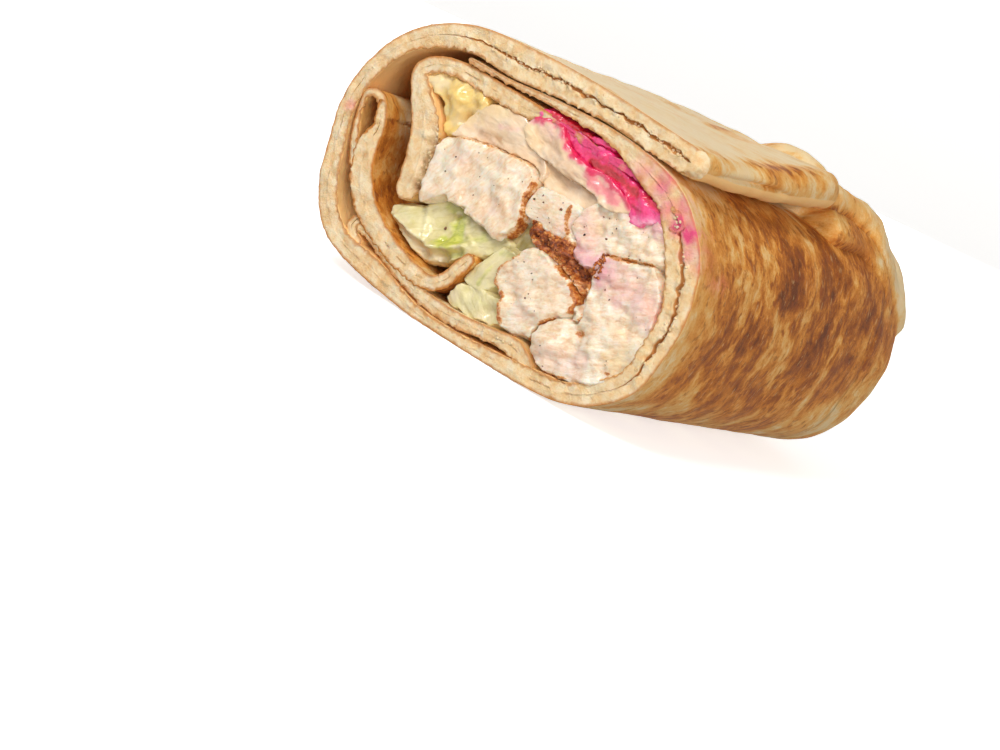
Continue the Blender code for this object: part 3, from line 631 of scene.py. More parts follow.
def filling(node, finish, outline, level, ragged, lumps, fibre, grow, marks, dents=(), grooves=(),
            lump_size=3.5, cell=0.33):
    """One piece of filling, from its outline on the cut face, run back into the wrap.

    level: how far it lies behind the cut; ragged: its torn edge; lumps: its uneven face; fibre: its
    grain's turn in degrees and strength; grow: how much it swells behind the cut; marks: a fact of
    its finish, reach, strength, points; dents: x, z, reach, drop; grooves: reach, drop, points.
    """
    name = node + "_piece"
    line = smooth_line(outline, 0.45, closed=True)
    seed = float(sum(map(ord, name)) % 97)
    run = np.roll(line, -1, axis=0) - np.roll(line, 1, axis=0)
    run /= np.linalg.norm(run, axis=1)[:, None]
    area = np.sum(line[:, 0] * np.roll(line[:, 1], -1) - np.roll(line[:, 0], -1) * line[:, 1])
    jag = rough(np.column_stack([line[:, 0], 0 * line[:, 0], line[:, 1]]), 1.1, seed=seed, octaves=3)
    line = line + np.column_stack([run[:, 1], -run[:, 0]]) * (np.sign(area) * ragged * 1.6 * jag)[:, None]
    bpy.ops.object.select_all(action="DESELECT")
    bpy.ops.mesh.primitive_circle_add(vertices=len(line), fill_type="NGON")
    piece = bpy.context.object
    piece.name = piece.data.name = name
    corners = np.column_stack([line[:, 0], 0 * line[:, 0], line[:, 1]])
    piece.data.vertices.foreach_set("co", corners.ravel())
    bpy.ops.object.mode_set(mode="EDIT")
    bpy.ops.mesh.select_all(action="SELECT")
    bpy.ops.mesh.extrude_region_move(
        TRANSFORM_OT_translate={"value": (0, FINE_DEPTH + (FILLING_END - FINE_DEPTH) / SQUEEZE, 0)})
    bpy.ops.mesh.select_all(action="SELECT")
    bpy.ops.mesh.normals_make_consistent(inside=False)
    bpy.ops.object.mode_set(mode="OBJECT")
    remesh = piece.modifiers.new("even_cells", "REMESH")
    remesh.mode, remesh.voxel_size = "VOXEL", cell
    soften = piece.modifiers.new("soft_edges", "SMOOTH")
    soften.factor, soften.iterations = 0.6, 7
    bpy.ops.object.modifier_apply(modifier=remesh.name)
    bpy.ops.object.modifier_apply(modifier=soften.name)
    count = len(piece.data.vertices)
    points, normals = np.empty(count * 3), np.empty(count * 3)
    piece.data.vertices.foreach_get("co", points)
    piece.data.vertices.foreach_get("normal", normals)
    points, normals = points.reshape(-1, 3), normals.reshape(-1, 3)
    depth = points[:, 1].copy()
    points[:, 1] = np.minimum(depth, FINE_DEPTH) + np.maximum(depth - FINE_DEPTH, 0.0) * SQUEEZE
    near = held(1.0 - depth / 4.5)
    turn, strength = fibre
    turn = math.radians(turn)
    along = math.cos(turn) * points[:, 0] + math.sin(turn) * points[:, 2]
    across = -math.sin(turn) * points[:, 0] + math.cos(turn) * points[:, 2]
    fibres = np.column_stack([along / 2.6, points[:, 1] / 2.5, across])
    sink = level + lumps * rough(points, lump_size, seed=seed)
    sink += strength * rough(fibres, 0.75, seed=seed, octaves=3)
    sink += strength * 1.1 * rough(fibres, 2.1, seed=seed + 3.0)
    for x, z, reach, drop in dents:
        sink += drop * np.exp(-((points[:, 0] - x) ** 2 + (points[:, 2] - z) ** 2) / reach ** 2)
    for reach, drop, *line in grooves:
        crease = smooth_line(line, 0.4)
        gap = np.min(np.linalg.norm(points[:, None, [0, 2]] - crease[None], axis=2), axis=1)
        sink += drop * hump(gap, reach)
    swell = grow * held((depth - 0.7) / 2.5) * held((FILLING_END - 1.0 - points[:, 1]) / 4.0)
    swell += 0.22 * rough(points, 1.2, seed=seed + 1.0)
    points[:, [0, 2]] += normals[:, [0, 2]] * swell[:, None]
    points[:, 1] += near * sink
    places = in_world(unevenness(points))
    piece.data.vertices.foreach_set("co", places.ravel())
    layer = piece.data.attributes.new("fibre", "FLOAT_VECTOR", "POINT")
    layer.data.foreach_set("vector", fibres.ravel())
    for fact in dict.fromkeys(mark[0] for mark in marks):
        bands = [mark[1:] for mark in marks if mark[0] == fact]
        layer = piece.data.attributes.new(fact, "FLOAT", "POINT")
        layer.data.foreach_set("value", marked(points, bands, seed))
    bpy.ops.object.shade_smooth()
    piece.data.materials.append(finish)
    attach(piece, "root")
    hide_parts(node)


meat, shade, surface = finish_material("moist_chicken", {
    "Subsurface Weight": 0.44, "Subsurface Radius": (1.0, 0.5, 0.3), "Subsurface Scale": 0.0022,
    "Coat Roughness": 0.14, "Specular IOR Level": 0.4})
brown, pink, yellow = shade.fact("brown"), shade.fact("pink"), shade.fact("yellow")
fibre = shade.fact("fibre", "Vector")
tone = shade.noise(3.2, detail=5.0, roughness=0.6)
strands = shade.noise(0.55, of=fibre, detail=4.0, roughness=0.6, warp=0.4)
grain = shade.noise(0.45, detail=3.0, roughness=0.6)
# Warm tan to cream with the meat's tone, strands and grain; strands and grain also shape the bump, so
# their tan lows are painted shade in the fibre grooves.
meat_colour = (tone * 0.42 + strands * 0.40 + grain * 0.18).ramp(
    (0.32, 220, 172, 124), (0.43, 238, 206, 168), (0.52, 247, 227, 200),
    (0.64, 253, 243, 228))
blush = shade.noise(4.5, detail=3.0).step(0.50, 0.68)
meat_colour = (blush * 0.16).mix(meat_colour, (232, 190, 172))
meat_colour = (pink * (0.45 + tone * 0.6)).mix(meat_colour, (234, 152, 170))
meat_colour = (yellow * 0.75).mix(meat_colour, (242, 209, 148))
rugged = brown.step(0.02, 0.3)
scorch = brown + (strands - 0.5) * 0.7 * rugged + (grain - 0.5) * 0.9 * rugged
meat_colour = scorch.step(0.08, 0.34).mix(meat_colour, scorch.ramp(
    (0.16, 232, 180, 112), (0.38, 206, 132, 62), (0.58, 166, 84, 28),
    (0.78, 112, 48, 14), (0.98, 58, 26, 12)))
here_and_there = shade.noise(3.0, detail=1.0).step(0.5, 0.6)
specks = (1 - shade.cells(2.3).step(0.05, 0.09)) * here_and_there
meat_colour = (specks * 0.7).mix(meat_colour, (120, 62, 30))
relief = shade.bump(strands, 0.24, 0.9)
relief = shade.bump(grain, 0.12, 0.8, normal=relief)
wet = shade.noise(1.3, detail=4.0).step(0.42, 0.58)
set_sockets(shade, surface, Base_Color=meat_colour, Normal=relief, Roughness=0.56 - wet * 0.28,
            Coat_Weight=wet * (0.62 - brown.step(0.3, 0.7) * 0.62))

filling("chicken_left", meat, (
    (-17.9, 29.4), (-17.2, 30.4), (-14.5, 31.6), (-9, 32.3), (-4, 32.8), (0, 33), (2.3, 31.7),
    (3.2, 29.8), (2.6, 27.6), (3.4, 25.4), (3.4, 23.6), (2.4, 21.3), (1.3, 19.8), (0.2, 19.2), (-2, 19.8),
    (-4.2, 20), (-5.5, 20.2), (-5.8, 21), (-6.8, 20.2), (-7.5, 21.1), (-10, 21), (-11.2, 20.7),
    (-11.8, 21.6), (-13.6, 20.5), (-16.4, 18.4), (-17.6, 20.5), (-18, 23.5), (-18.1, 26.5)),
    level=-0.55, ragged=0.2, lumps=0.55, lump_size=3.4, fibre=(62, 0.27), grow=0.5,
    dents=((-16.5, 30.5, 2, 1.2), (-8, 32.6, 3, 0.9), (0.5, 32.5, 2, 1), (-9, 25.5, 2.6, 0.4),
           (-2, 27.5, 1.6, -0.4), (2.6, 22, 2.2, 0.8), (-13, 23, 3, -0.3)),
    marks=(("brown", 0.5, 0.5, (2.9, 30.5), (2.8, 28), (3.6, 25)),
           ("brown", 0.45, 0.5, (3.5, 24), (3.4, 22.5), (1.8, 19.8)),
           ("brown", 0.35, 0.3, (-17, 30.6), (-12, 32), (-5, 32.9), (1, 33)),
           ("brown", 0.35, 0.24, (-18.2, 28), (-18.2, 22)), ("pink", 1.6, 0.18, (-2, 23.5)),
           ("pink", 2, 0.14, (-12, 28))))
filling("chicken_middle", meat, (
    (3.2, 28.6), (3.8, 30.5), (6, 30.9), (10.5, 31), (13.6, 30.4), (13.4, 27.8), (14.8, 25.4),
    (10.5, 24.5), (6.2, 24.9), (3.5, 25.3), (2.9, 26.8)),
    level=1, ragged=0.12, lumps=0.4, fibre=(10, 0.12), grow=1.3,
    dents=((8, 28, 3, -0.5),),
    marks=(("brown", 0.5, 0.5, (11.3, 30.2), (11.6, 28), (13.2, 25.6)), ("pink", 2.2, 0.35, (12.5, 27))))
filling("chicken_centre", meat, (
    (13.8, 30.4), (14.8, 32.2), (17, 33.3), (20, 33.6), (23, 34.8), (26, 35.2), (29.5, 34.6),
    (32.4, 33.8), (33.2, 31), (32.4, 28.9), (30.6, 28.4), (27, 27.3), (22.8, 26.4), (21, 26),
    (21.8, 24.2), (21, 23.1), (18.8, 22.7), (16.8, 22.9), (15.2, 23.9), (15.6, 25.4), (13.8, 26.4),
    (13.2, 28)),
    level=0.4, ragged=0.12, lumps=0.8, lump_size=2.8, fibre=(24, 0.3), grow=1,
    dents=((18.2, 24, 2, -0.5), (26, 33.6, 3, 0.8), (23, 28, 2, 0.4), (17, 31, 3, 0.5),
           (28, 31, 4, -0.5)),
    marks=(("brown", 0.35, 0.45, (22, 26.2), (26, 27.2), (30.6, 28.4)),
           ("pink", 2.2, 0.85, (15.8, 24.6), (18.6, 23.8), (21, 24.6)),
           ("pink", 2.6, 0.4, (15.5, 29), (18, 26.5)),
           ("pink", 1.6, 0.8, (22, 34.6), (26, 34.4), (30, 33.9)), ("yellow", 1.6, 0.5, (18, 29.4))))
filling("chicken_browned", meat, (
    (5.4, 24.8), (6.6, 25.1), (9, 24.9), (12, 25), (13.8, 26.6), (15.2, 25.4), (14.9, 24), (16.8, 22.8),
    (20.5, 22.9), (21.6, 23.6), (21.4, 26.2), (22.4, 25), (22.6, 23), (21, 21), (21.8, 18.8), (22.6, 15),
    (21.2, 13.6), (20, 14.6), (20.4, 17), (18.6, 18.9), (14.8, 20.4), (11, 21.4), (8.4, 21.6),
    (6.6, 22.4)),
    level=0.7, ragged=0.5, lumps=1.1, lump_size=1.3, fibre=(-14, 0.6), grow=1.2,
    dents=((17.5, 21.4, 1.4, 0.9), (10, 23, 1.5, -0.8), (13.5, 23.8, 1.2, -0.6), (19, 21.2, 1.2, 1.2),
           (21.8, 17.5, 2.2, 1.6)),
    marks=(("brown", 2.6, 0.66, (6, 24), (10, 23.2), (14, 23), (17, 21.8), (20, 21.2)),
           ("brown", 0.6, 0.4, (14.5, 20.9), (19, 19.4), (21.9, 17), (22.3, 14.6)),
           ("brown", 1.2, 0.8, (21.2, 26), (22, 24)), ("pink", 0.9, 0.5, (17.5, 22.6), (20, 22.6))))
filling("chicken_lower", meat, (
    (7.2, 20.2), (8.2, 21.3), (10.6, 21.4), (13.4, 20.6), (15.8, 19.9), (18.4, 18.9), (20.2, 17.4),
    (20.2, 15), (19.2, 13.9), (17.6, 12.6), (15.9, 10.6), (15.2, 8.8), (15.4, 7.8), (13.4, 7.3),
    (11.2, 6.7), (9.4, 6.8), (8.2, 7.6), (7.2, 9.2), (6.4, 11.4), (5.2, 12), (3.9, 13.1), (3.7, 15),
    (4.8, 17.2), (6.2, 18.5)),
    level=-0.35, ragged=0.2, lumps=0.6, lump_size=3, fibre=(28, 0.27), grow=0.6,
    dents=((9, 12.4, 1.2, 0.9), (19, 17, 2, 0.6), (5, 14, 1.8, 0.7), (12, 14.5, 3, -0.4),
           (12.5, 8.6, 2.5, 0.3)),
    marks=(("brown", 0.65, 0.42, (6.2, 18.8), (4.3, 16.5), (3.6, 14.2), (5.4, 12.2)),
           ("brown", 0.85, 0.46, (6.6, 11.6), (7.4, 9.4), (8.6, 7.5)),
           ("brown", 0.8, 0.5, (18.4, 19), (20.4, 17.2), (20.4, 15.2)),
           ("brown", 0.45, 0.45, (14, 20.5), (17, 19.6)), ("brown", 0.45, 0.5, (16, 10.4), (17.8, 12.6)),
           ("brown", 0.5, 0.5, (14.6, 7.4)), ("pink", 1.8, 0.14, (12, 11))))
filling("chicken_right", meat, (
    (21.4, 26.1), (24, 26.6), (27.4, 27.4), (30.6, 28.3), (32.4, 27), (34.2, 25), (35.4, 21), (35.6, 17),
    (35.3, 12.6), (33.2, 8.8), (28.8, 5.8), (23, 4.4), (19.2, 4.6), (16.6, 6), (15.5, 8), (15.8, 9.8),
    (17.4, 12.2), (19.6, 13.4), (21.6, 13.5), (22.6, 14.8), (22, 17.4), (21.4, 19.6), (21, 22.4),
    (22, 24.2)),
    level=-0.1, ragged=0.16, lumps=0.8, lump_size=3.4, fibre=(24, 0.27), grow=0.7,
    dents=((23, 20.5, 2, 0.6), (25, 16.5, 1.8, -0.5), (27, 12.5, 2.6, -0.6), (23.6, 12.6, 0.9, 0.7),
           (31, 9.2, 1, 0.6), (28, 24, 4, 0.5), (33.5, 12, 2.5, 0.5), (20, 8, 2.5, -0.3),
           (30, 18.5, 2.5, 0.3)),
    marks=(("brown", 0.35, 0.45, (22, 26.2), (26, 27), (30.6, 28.3)),
           ("brown", 0.6, 0.42, (23, 12.5), (24.4, 12.8)), ("brown", 0.35, 0.4, (30.5, 9.2), (31.8, 9.4)),
           ("brown", 0.3, 0.4, (34, 8.8), (35, 9.5)), ("brown", 0.4, 0.4, (17.4, 5), (21, 4.2), (25, 5)),
           ("pink", 3, 0.72, (22.6, 24), (25, 23.6)), ("pink", 3, 0.5, (26, 23), (31, 22.5), (34, 21.8)),
           ("pink", 1.4, 0.95, (22.4, 21.8), (22.8, 23.8)), ("pink", 2.4, 0.22, (19.5, 6.2), (26, 8)),
           ("yellow", 2.4, 0.75, (32, 12.6), (33.4, 11.6)), ("yellow", 1.8, 0.4, (30.6, 15.8))))

# ---- Lettuce -----------------------------------------------------------------------------------
# Crisp lettuce, cut across: a folded yellow-green leaf with its pale underside, pale rib and shred, a
# leaf behind them painted dark olive as painted shade, and a yellow crumpled heart leaf up in the corner.
leaf, shade, surface = finish_material("lettuce", {
    "Subsurface Weight": 0.22, "Subsurface Radius": (0.9, 1.0, 0.3), "Subsurface Scale": 0.0012,
    "Coat Roughness": 0.12, "Specular IOR Level": 0.5})
green, pale, shady = shade.fact("green"), shade.fact("pale"), shade.fact("shady")
fibre = shade.fact("fibre", "Vector")
tone = shade.noise(2.6, detail=5.0, roughness=0.6)
veins = shade.noise(0.7, of=fibre, detail=3.0, roughness=0.5, warp=0.8)
grain = shade.noise(0.5, detail=3.0)
leaf_colour = (tone * 0.6 + veins * 0.4).ramp(
    (0.3, 208, 192, 122), (0.5, 226, 213, 156), (0.72, 240, 230, 184))
leaf_colour = (green + (tone - 0.5) * 0.6 * green.step(0.02, 0.3)).step(0.15, 0.95).mix(
    leaf_colour, veins.ramp((0.35, 170, 176, 34), (0.62, 213, 212, 92)))
leaf_colour = (shade.fact("gold") * (0.55 + veins * 0.7)).mix(leaf_colour, (246, 208, 118))
leaf_colour = (pale * (0.6 + tone * 0.6)).mix(leaf_colour, (240, 220, 178))
# Dark olive where leaves lie under or behind other pieces: painted shade.
leaf_colour = (shady * 0.9).mix(leaf_colour, (128, 112, 40))
relief = shade.bump(veins, 0.30, 0.7)
relief = shade.bump(grain, 0.10, 0.6, normal=relief)
wet = shade.noise(2.2, detail=2.0).step(0.36, 0.6)
set_sockets(shade, surface, Base_Color=leaf_colour, Normal=relief, Roughness=0.46 - wet * 0.18,
            Coat_Weight=0.25 + wet * 0.75)

filling("lettuce_leaf", leaf, (
    (-22.9, 14.9), (-20, 16.4), (-17, 17.4), (-14, 20), (-11.5, 22), (-6, 21.8), (0.6, 20), (3.2, 19.6),
    (2.6, 18), (0.8, 16.8), (-0.6, 15.5), (-3, 14.2), (-4.9, 13.2), (-6.4, 11.7), (-8.2, 10.8),
    (-10, 10.2), (-12.4, 9.3), (-15.2, 10.1), (-18.8, 11.6), (-20.6, 12.5), (-22.1, 13.6)),
    level=1.5, ragged=0.12, lumps=0.35, fibre=(34, 0.22), grow=0.5,
    dents=((-19.5, 14.3, 2.4, -0.8), (-15.5, 12.6, 2, -1.6), (-11, 12.1, 1.8, -1.8),
           (-7.6, 13.4, 1.8, -1.5), (-4, 15.2, 1.8, -1), (-11.5, 18.5, 3, 1.2), (-9, 17, 1.8, -1),
           (-3, 18, 2, -0.4), (-13, 10.6, 2, 1.2), (-8.5, 11.4, 1.6, 1.4), (-16, 16, 2.6, -0.3)),
    grooves=((0.5, -0.9, (-21.8, 13.9), (-18.3, 13.4), (-15.8, 13), (-13.4, 12.5), (-10.9, 12.4),
              (-7.9, 13.5), (-5, 15.4)),
             (0.8, 0.9, (-20.8, 12.6), (-15.8, 11.6), (-12, 11), (-8.4, 11.9), (-5.4, 13.8)),
             (0.35, -0.5, (-15.4, 17.6), (-14.4, 15), (-13.2, 12.8)),
             (0.7, 0.6, (-9.4, 19.4), (-8.6, 16.6), (-9.6, 14.2)),
             (0.4, -0.4, (-7.4, 19.8), (-6, 17.6), (-3.6, 16.4))),
    marks=(("green", 2, 0.95, (-8.4, 18.6), (-7.7, 15.4), (-9.5, 13.8)),
           ("green", 1.4, 0.55, (-6, 16), (-2, 18.2)),
           ("green", 1, 0.65, (-11.6, 11.7), (-7.8, 12.6), (-4.5, 14.4)),
           ("green", 1.4, 0.7, (-12, 19.8), (-8, 20.6)),
           ("pale", 2, 0.85, (-18.5, 12.4), (-13, 10.5), (-10, 10.9)), ("pale", 1.4, 0.5, (-21.5, 14.2)),
           ("shady", 1.2, 0.75, (-12.4, 21), (-6, 20.8)), ("shady", 1.2, 0.6, (-3, 19.9), (2, 19))))
filling("lettuce_back", leaf, (
    (2, 19.4), (3.6, 22.8), (3.4, 26), (5.8, 25.2), (6.8, 22.6), (8.6, 21.6), (7.2, 19.6), (6, 17.6),
    (3, 17.4)),
    level=2.8, ragged=0.1, lumps=0.4, fibre=(60, 0.2), grow=1.6,
    marks=(("green", 2, 0.4, (4, 19)), ("shady", 2.6, 0.95, (4.4, 25), (5, 22), (5.4, 19.6))))
filling("lettuce_rib", leaf, (
    (1.8, 18.2), (0.2, 15.6), (-1.2, 13.4), (-2.3, 11.4), (-2.2, 10.3), (0, 9.8), (2.4, 10.2),
    (4.2, 11.8), (5.6, 14), (6.4, 16.8), (6, 18.4), (4, 18.8)),
    level=0.9, ragged=0.08, lumps=0.25, fibre=(58, 0.16), grow=0.9,
    dents=((0.8, 13.4, 1.6, -0.6), (3.2, 15, 1.8, -0.3), (4.8, 13, 1.4, 0.6)),
    marks=(("green", 0.6, 0.75, (0.8, 11), (2.2, 14.6)), ("green", 0.7, 0.5, (2.4, 17.6), (5, 18.2)),
           ("pale", 1.8, 0.35, (0, 12), (3.6, 15.8)), ("shady", 0.6, 0.5, (3, 18.8), (6.2, 18))))
filling("lettuce_shred", leaf, (
    (-4, 6.2), (-3.6, 7.6), (-2.7, 9.2), (-1, 10), (1.4, 10.4), (4.4, 10.6), (6.8, 10.3), (6.9, 9),
    (8.6, 7.2), (7, 6.2), (6.2, 5.6), (4.6, 5.8), (2.6, 5), (-0.5, 5.4), (-2.2, 5.3), (-3.4, 5.5)),
    level=0.9, ragged=0.22, lumps=0.4, fibre=(-40, 0.22), grow=0.8,
    dents=((-2, 8.6, 1.4, -0.6), (2.5, 8.4, 1.8, -0.5), (5.4, 7.6, 1.2, 0.7)),
    marks=(("green", 0.8, 0.35, (1.6, 9), (4.4, 8.6)), ("pale", 1.4, 0.75, (-3.2, 6), (-2.6, 7.4)),
           ("pale", 1.2, 0.5, (5.6, 6.6), (4, 6)), ("shady", 0.7, 0.6, (7, 9.8), (8.2, 7.6))))
filling("lettuce_yellow", leaf, (
    (-27.2, 37.1), (-26, 38.8), (-24, 39.7), (-20, 40.1), (-15, 39.9), (-12.8, 39), (-12.4, 37.4),
    (-13.4, 35), (-15.4, 32.6), (-17, 30.8), (-19.2, 30.6), (-20.4, 33), (-22.2, 35.4), (-25, 36)),
    level=1, ragged=0.12, lumps=0.5, lump_size=2.6, fibre=(50, 0.22), grow=0.6,
    dents=((-19, 37, 2.2, -1.5), (-15.6, 34.6, 1.7, 2.2), (-14, 38.8, 1.6, -0.5),
           (-24.6, 37.6, 1.6, -0.6), (-18, 32.2, 1.4, 0.3)),
    marks=(("green", 0.8, 0.2, (-20, 33.6)),
           ("gold", 4.5, 1.1, (-24, 38), (-19, 37.6), (-14.6, 38), (-16.4, 34), (-18.4, 31.6)),
           ("pale", 1.6, 0.8, (-26, 37.6), (-23, 38)), ("pale", 1.2, 0.5, (-17.6, 33.4), (-15, 36.2)),
           ("shady", 1.2, 0.22, (-15.8, 34.4), (-17.2, 33))))

# ---- White cabbage -----------------------------------------------------------------------------
# Thick cream strips of raw white cabbage, cut across the leaf, half clear and wet. They are rolled in
# with the chicken, and the ones by the pickle are stained pink by its juice.
cabbage, shade, surface = finish_material("wet_cabbage", {
    "Subsurface Weight": 0.25, "Subsurface Radius": (1.0, 0.75, 0.5), "Subsurface Scale": 0.0014,
    "Coat Roughness": 0.10, "Specular IOR Level": 0.5})
pink, shady, yellow = shade.fact("pink"), shade.fact("shady"), shade.fact("yellow")
fibre = shade.fact("fibre", "Vector")
tone = shade.noise(3.4, detail=4.0, roughness=0.55)
veins = shade.noise(0.9, of=fibre, detail=3.0, roughness=0.5, warp=0.5)
grain = shade.noise(0.5, detail=3.0)
cabbage_colour = (tone * 0.7 + veins * 0.3).ramp(
    (0.3, 230, 190, 146), (0.5, 241, 209, 170), (0.7, 250, 228, 200))
cabbage_colour = (yellow * 0.8).mix(cabbage_colour, (243, 212, 150))
stain = pink + (tone - 0.5) * 0.5 * pink.step(0.02, 0.3)
cabbage_colour = stain.step(0.05, 1.1).mix(cabbage_colour, stain.ramp(
    (0.2, 242, 168, 176), (0.6, 240, 96, 140), (0.9, 224, 30, 90)))
# Brown where strips lie under other pieces: painted shade.
cabbage_colour = (shady * 0.8).mix(cabbage_colour, (178, 134, 92))
relief = shade.bump(veins, 0.26, 0.8)
relief = shade.bump(grain, 0.08, 0.5, normal=relief)
wet = shade.noise(2.6, detail=2.0).step(0.36, 0.6)
set_sockets(shade, surface, Base_Color=cabbage_colour, Normal=relief, Roughness=0.42 - wet * 0.2,
            Coat_Weight=0.2 + wet * 0.7)

filling("cabbage_strip", cabbage, (
    (-17.2, 31), (-16, 33.4), (-14.9, 36.2), (-13.2, 37.9), (-10.6, 39.3), (-7, 39.7), (-4, 39.5),
    (-2.6, 38.2), (-1.6, 36.6), (1.4, 35.3), (3.4, 33.8), (4, 32.2), (3, 31.2), (2.4, 32.6), (-1, 33.3),
    (-5, 32.9), (-10, 32.4), (-14, 31.7)),
    level=0.7, ragged=0.08, lumps=0.4, lump_size=3.6, fibre=(-6, 0.14), grow=0.8,
    dents=((-8, 36.6, 3, -0.7), (-3.5, 36.4, 2, -0.6), (-8.6, 33.4, 2.4, 1.1), (-14.6, 33, 1.6, 0.4),
           (-10.6, 38.4, 1.8, -0.2), (1.2, 34.2, 1.8, 0.5)),
    marks=(("pink", 0.7, 0.35, (-8.4, 36.2), (-4, 37.2)),
           ("yellow", 1.7, 0.6, (-15, 35), (-13, 36.8), (-9, 38.8)),
           ("shady", 0.7, 0.85, (-11.4, 33.6), (-8, 32.9), (-5, 32.6)),
           ("shady", 0.9, 0.5, (1.8, 34.2), (3.4, 32.6))))
filling("cabbage_core", cabbage, (
    (2.2, 34.6), (5, 34.8), (9, 34.4), (13, 33.9), (17.6, 33.6), (18, 31.6), (15, 30.6), (11, 30.2),
    (6, 30.1), (3.8, 30.8), (2.9, 32.6)),
    level=1.5, ragged=0.1, lumps=0.3, fibre=(-12, 0.14), grow=1.2,
    dents=((8, 33.8, 3, 0.6), (8, 31, 3, -0.3)),
    marks=(("pink", 1.2, 0.14, (15, 32)), ("yellow", 2, 0.3, (5, 33)),
           ("shady", 1.4, 0.5, (4, 34.4), (10, 34), (16, 33.4)), ("shady", 0.8, 0.4, (3, 32))))
filling("cabbage_petal", cabbage, (
    (-3.6, 38.2), (-2.9, 39.9), (-1.6, 40.9), (1, 41.5), (4, 41.3), (5.6, 39.6), (7.8, 38.4), (11, 37.8),
    (15, 37.7), (18.6, 36.9), (20.8, 35.9), (22.2, 34.8), (21.8, 33.6), (19.6, 32.8), (17, 32.7),
    (14.6, 33.6), (12, 34.2), (8, 34.2), (4, 34.7), (1, 35), (-1.6, 35.8), (-3.2, 36.9)),
    level=0, ragged=0.1, lumps=0.55, lump_size=3, fibre=(-18, 0.22), grow=0.5,
    dents=((1, 39, 3, 0.6), (8, 35.6, 3, -0.4), (15, 35, 3, 0.4), (18.6, 34, 2, -0.5),
           (5, 38.6, 1.6, -0.4), (12, 37.2, 2, -0.4), (2, 36, 2, 0.3)),
    marks=(("pink", 2.6, 0.36, (0, 39.8), (3.4, 39.6)), ("pink", 3.4, 0.2, (2, 38), (9, 36.4)),
           ("pink", 1.7, 0.7, (12.6, 36.4), (16, 35.4), (19.4, 34.8)),
           ("pink", 1.5, 1, (-2.2, 40.6), (1, 41.6), (4, 41.2), (6.4, 39.4), (9.6, 38.2), (14, 37.6),
            (19, 36.6), (22, 35)), ("pink", 1, 0.35, (20.4, 33.8)),
           ("yellow", 1.8, 0.35, (-2, 38), (0, 36.4)), ("shady", 0.8, 0.25, (3, 34.8), (9, 34.3))))

# ---- Pickled turnip ----------------------------------------------------------------------------
# Beetroot-dyed pickled turnip under the flap: soft wet sticks pressed flat against the bread, deep
# red where they are thick and bright pink where the juice has run.
pickle, shade, surface = finish_material("pickled_turnip", {
    "Subsurface Weight": 0.2, "Subsurface Radius": (1.0, 0.25, 0.4), "Subsurface Scale": 0.0014,
    "Coat Weight": 0.6, "Coat Roughness": 0.06, "Specular IOR Level": 0.4})
red, pale = shade.fact("red"), shade.fact("pale")
fibre = shade.fact("fibre", "Vector")
tone = shade.noise(1.7, detail=5.0, roughness=0.6)
grain = shade.noise(0.55, detail=3.0)
blend = tone * 0.75 + red * 0.65 - pale * 0.30
pickle_colour = blend.ramp(
    (0, 246, 168, 190), (0.16, 244, 110, 160), (0.32, 238, 52, 130),
    (0.56, 230, 24, 98), (0.8, 214, 20, 56), (1, 176, 14, 34))
relief = shade.bump(tone, 0.5, 0.9)
relief = shade.bump(grain, 0.22, 0.8, normal=relief)
set_sockets(shade, surface, Base_Color=pickle_colour, Normal=relief, Roughness=0.30 + tone * 0.2)

filling("pickled_turnip", pickle, (
    (4.6, 40.6), (7, 41.9), (10.2, 40.9), (12, 41.4), (14.2, 41), (16.4, 39.8), (19, 39), (21, 38.5),
    (24, 38), (26.6, 37.4), (28.8, 36.4), (30.4, 35.2), (28.4, 34.4), (26.6, 34.2), (25, 32.8),
    (22.6, 32.6), (21.6, 34.4), (20, 36), (16, 37.2), (12, 37.8), (8.4, 38.3)),
    level=0.5, ragged=0.22, lumps=0.5, lump_size=2.2, fibre=(-18, 0.3), grow=0.8,
    dents=((13, 39.6, 1.6, -0.5), (17, 38.2, 2, 0.5), (21, 37.4, 1.6, 0.6), (24.5, 36.2, 2.2, -0.5),
           (8, 40.4, 1.8, 0.2)),
    marks=(("red", 0.9, 0.95, (11.6, 38.3), (15, 38.3), (18.6, 37.8), (22, 37)),
           ("red", 1.2, 0.35, (10, 39.6), (14, 39.6), (22, 35.6)),
           ("red", 0.6, 0.6, (24, 37.4), (27.6, 36.6)),
           ("pale", 1.5, 0.95, (5.4, 41.2), (8.4, 41.2), (12, 40.9)),
           ("pale", 1.3, 0.9, (24, 33.2), (28.6, 34.8)), ("pale", 0.8, 0.7, (28, 35.8), (30, 35.2))))
filling("pickle_shred", pickle, (
    (-3.4, 38.9), (-3, 40.8), (-2.4, 42), (-1, 42.7), (2, 42.8), (5.4, 42.5), (8.6, 42.1), (12, 42.7),
    (13.8, 42.6), (14.2, 41.6), (10.6, 41.3), (7, 41.6), (3.6, 41.5), (-0.4, 41.2), (-1.9, 40.6),
    (-2.6, 39.2)),
    level=0.6, ragged=0.14, lumps=0.4, lump_size=1.8, fibre=(-4, 0.2), grow=0.5, cell=0.26,
    marks=(("red", 0.8, 0.85, (0.4, 42.3), (5, 42.2), (8.6, 41.8)),
           ("red", 0.5, 0.8, (12.6, 42.4), (13.8, 42.4)),
           ("pale", 1.1, 0.95, (-3.2, 39.2), (-2.4, 41.4))))

# ---- Pepper and crumbs ------------------------------------------------------------------------
# Cracked pepper from the marinade, crumbs of char off the grilled chicken and loose bread crumbs,
# caught on the wet cut as the wrap was halved. All of it lies on the pieces made above.
FILLINGS = [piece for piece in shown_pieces() if piece.name.endswith("_piece")]
PLIES = [outer_turn] + inner_plies


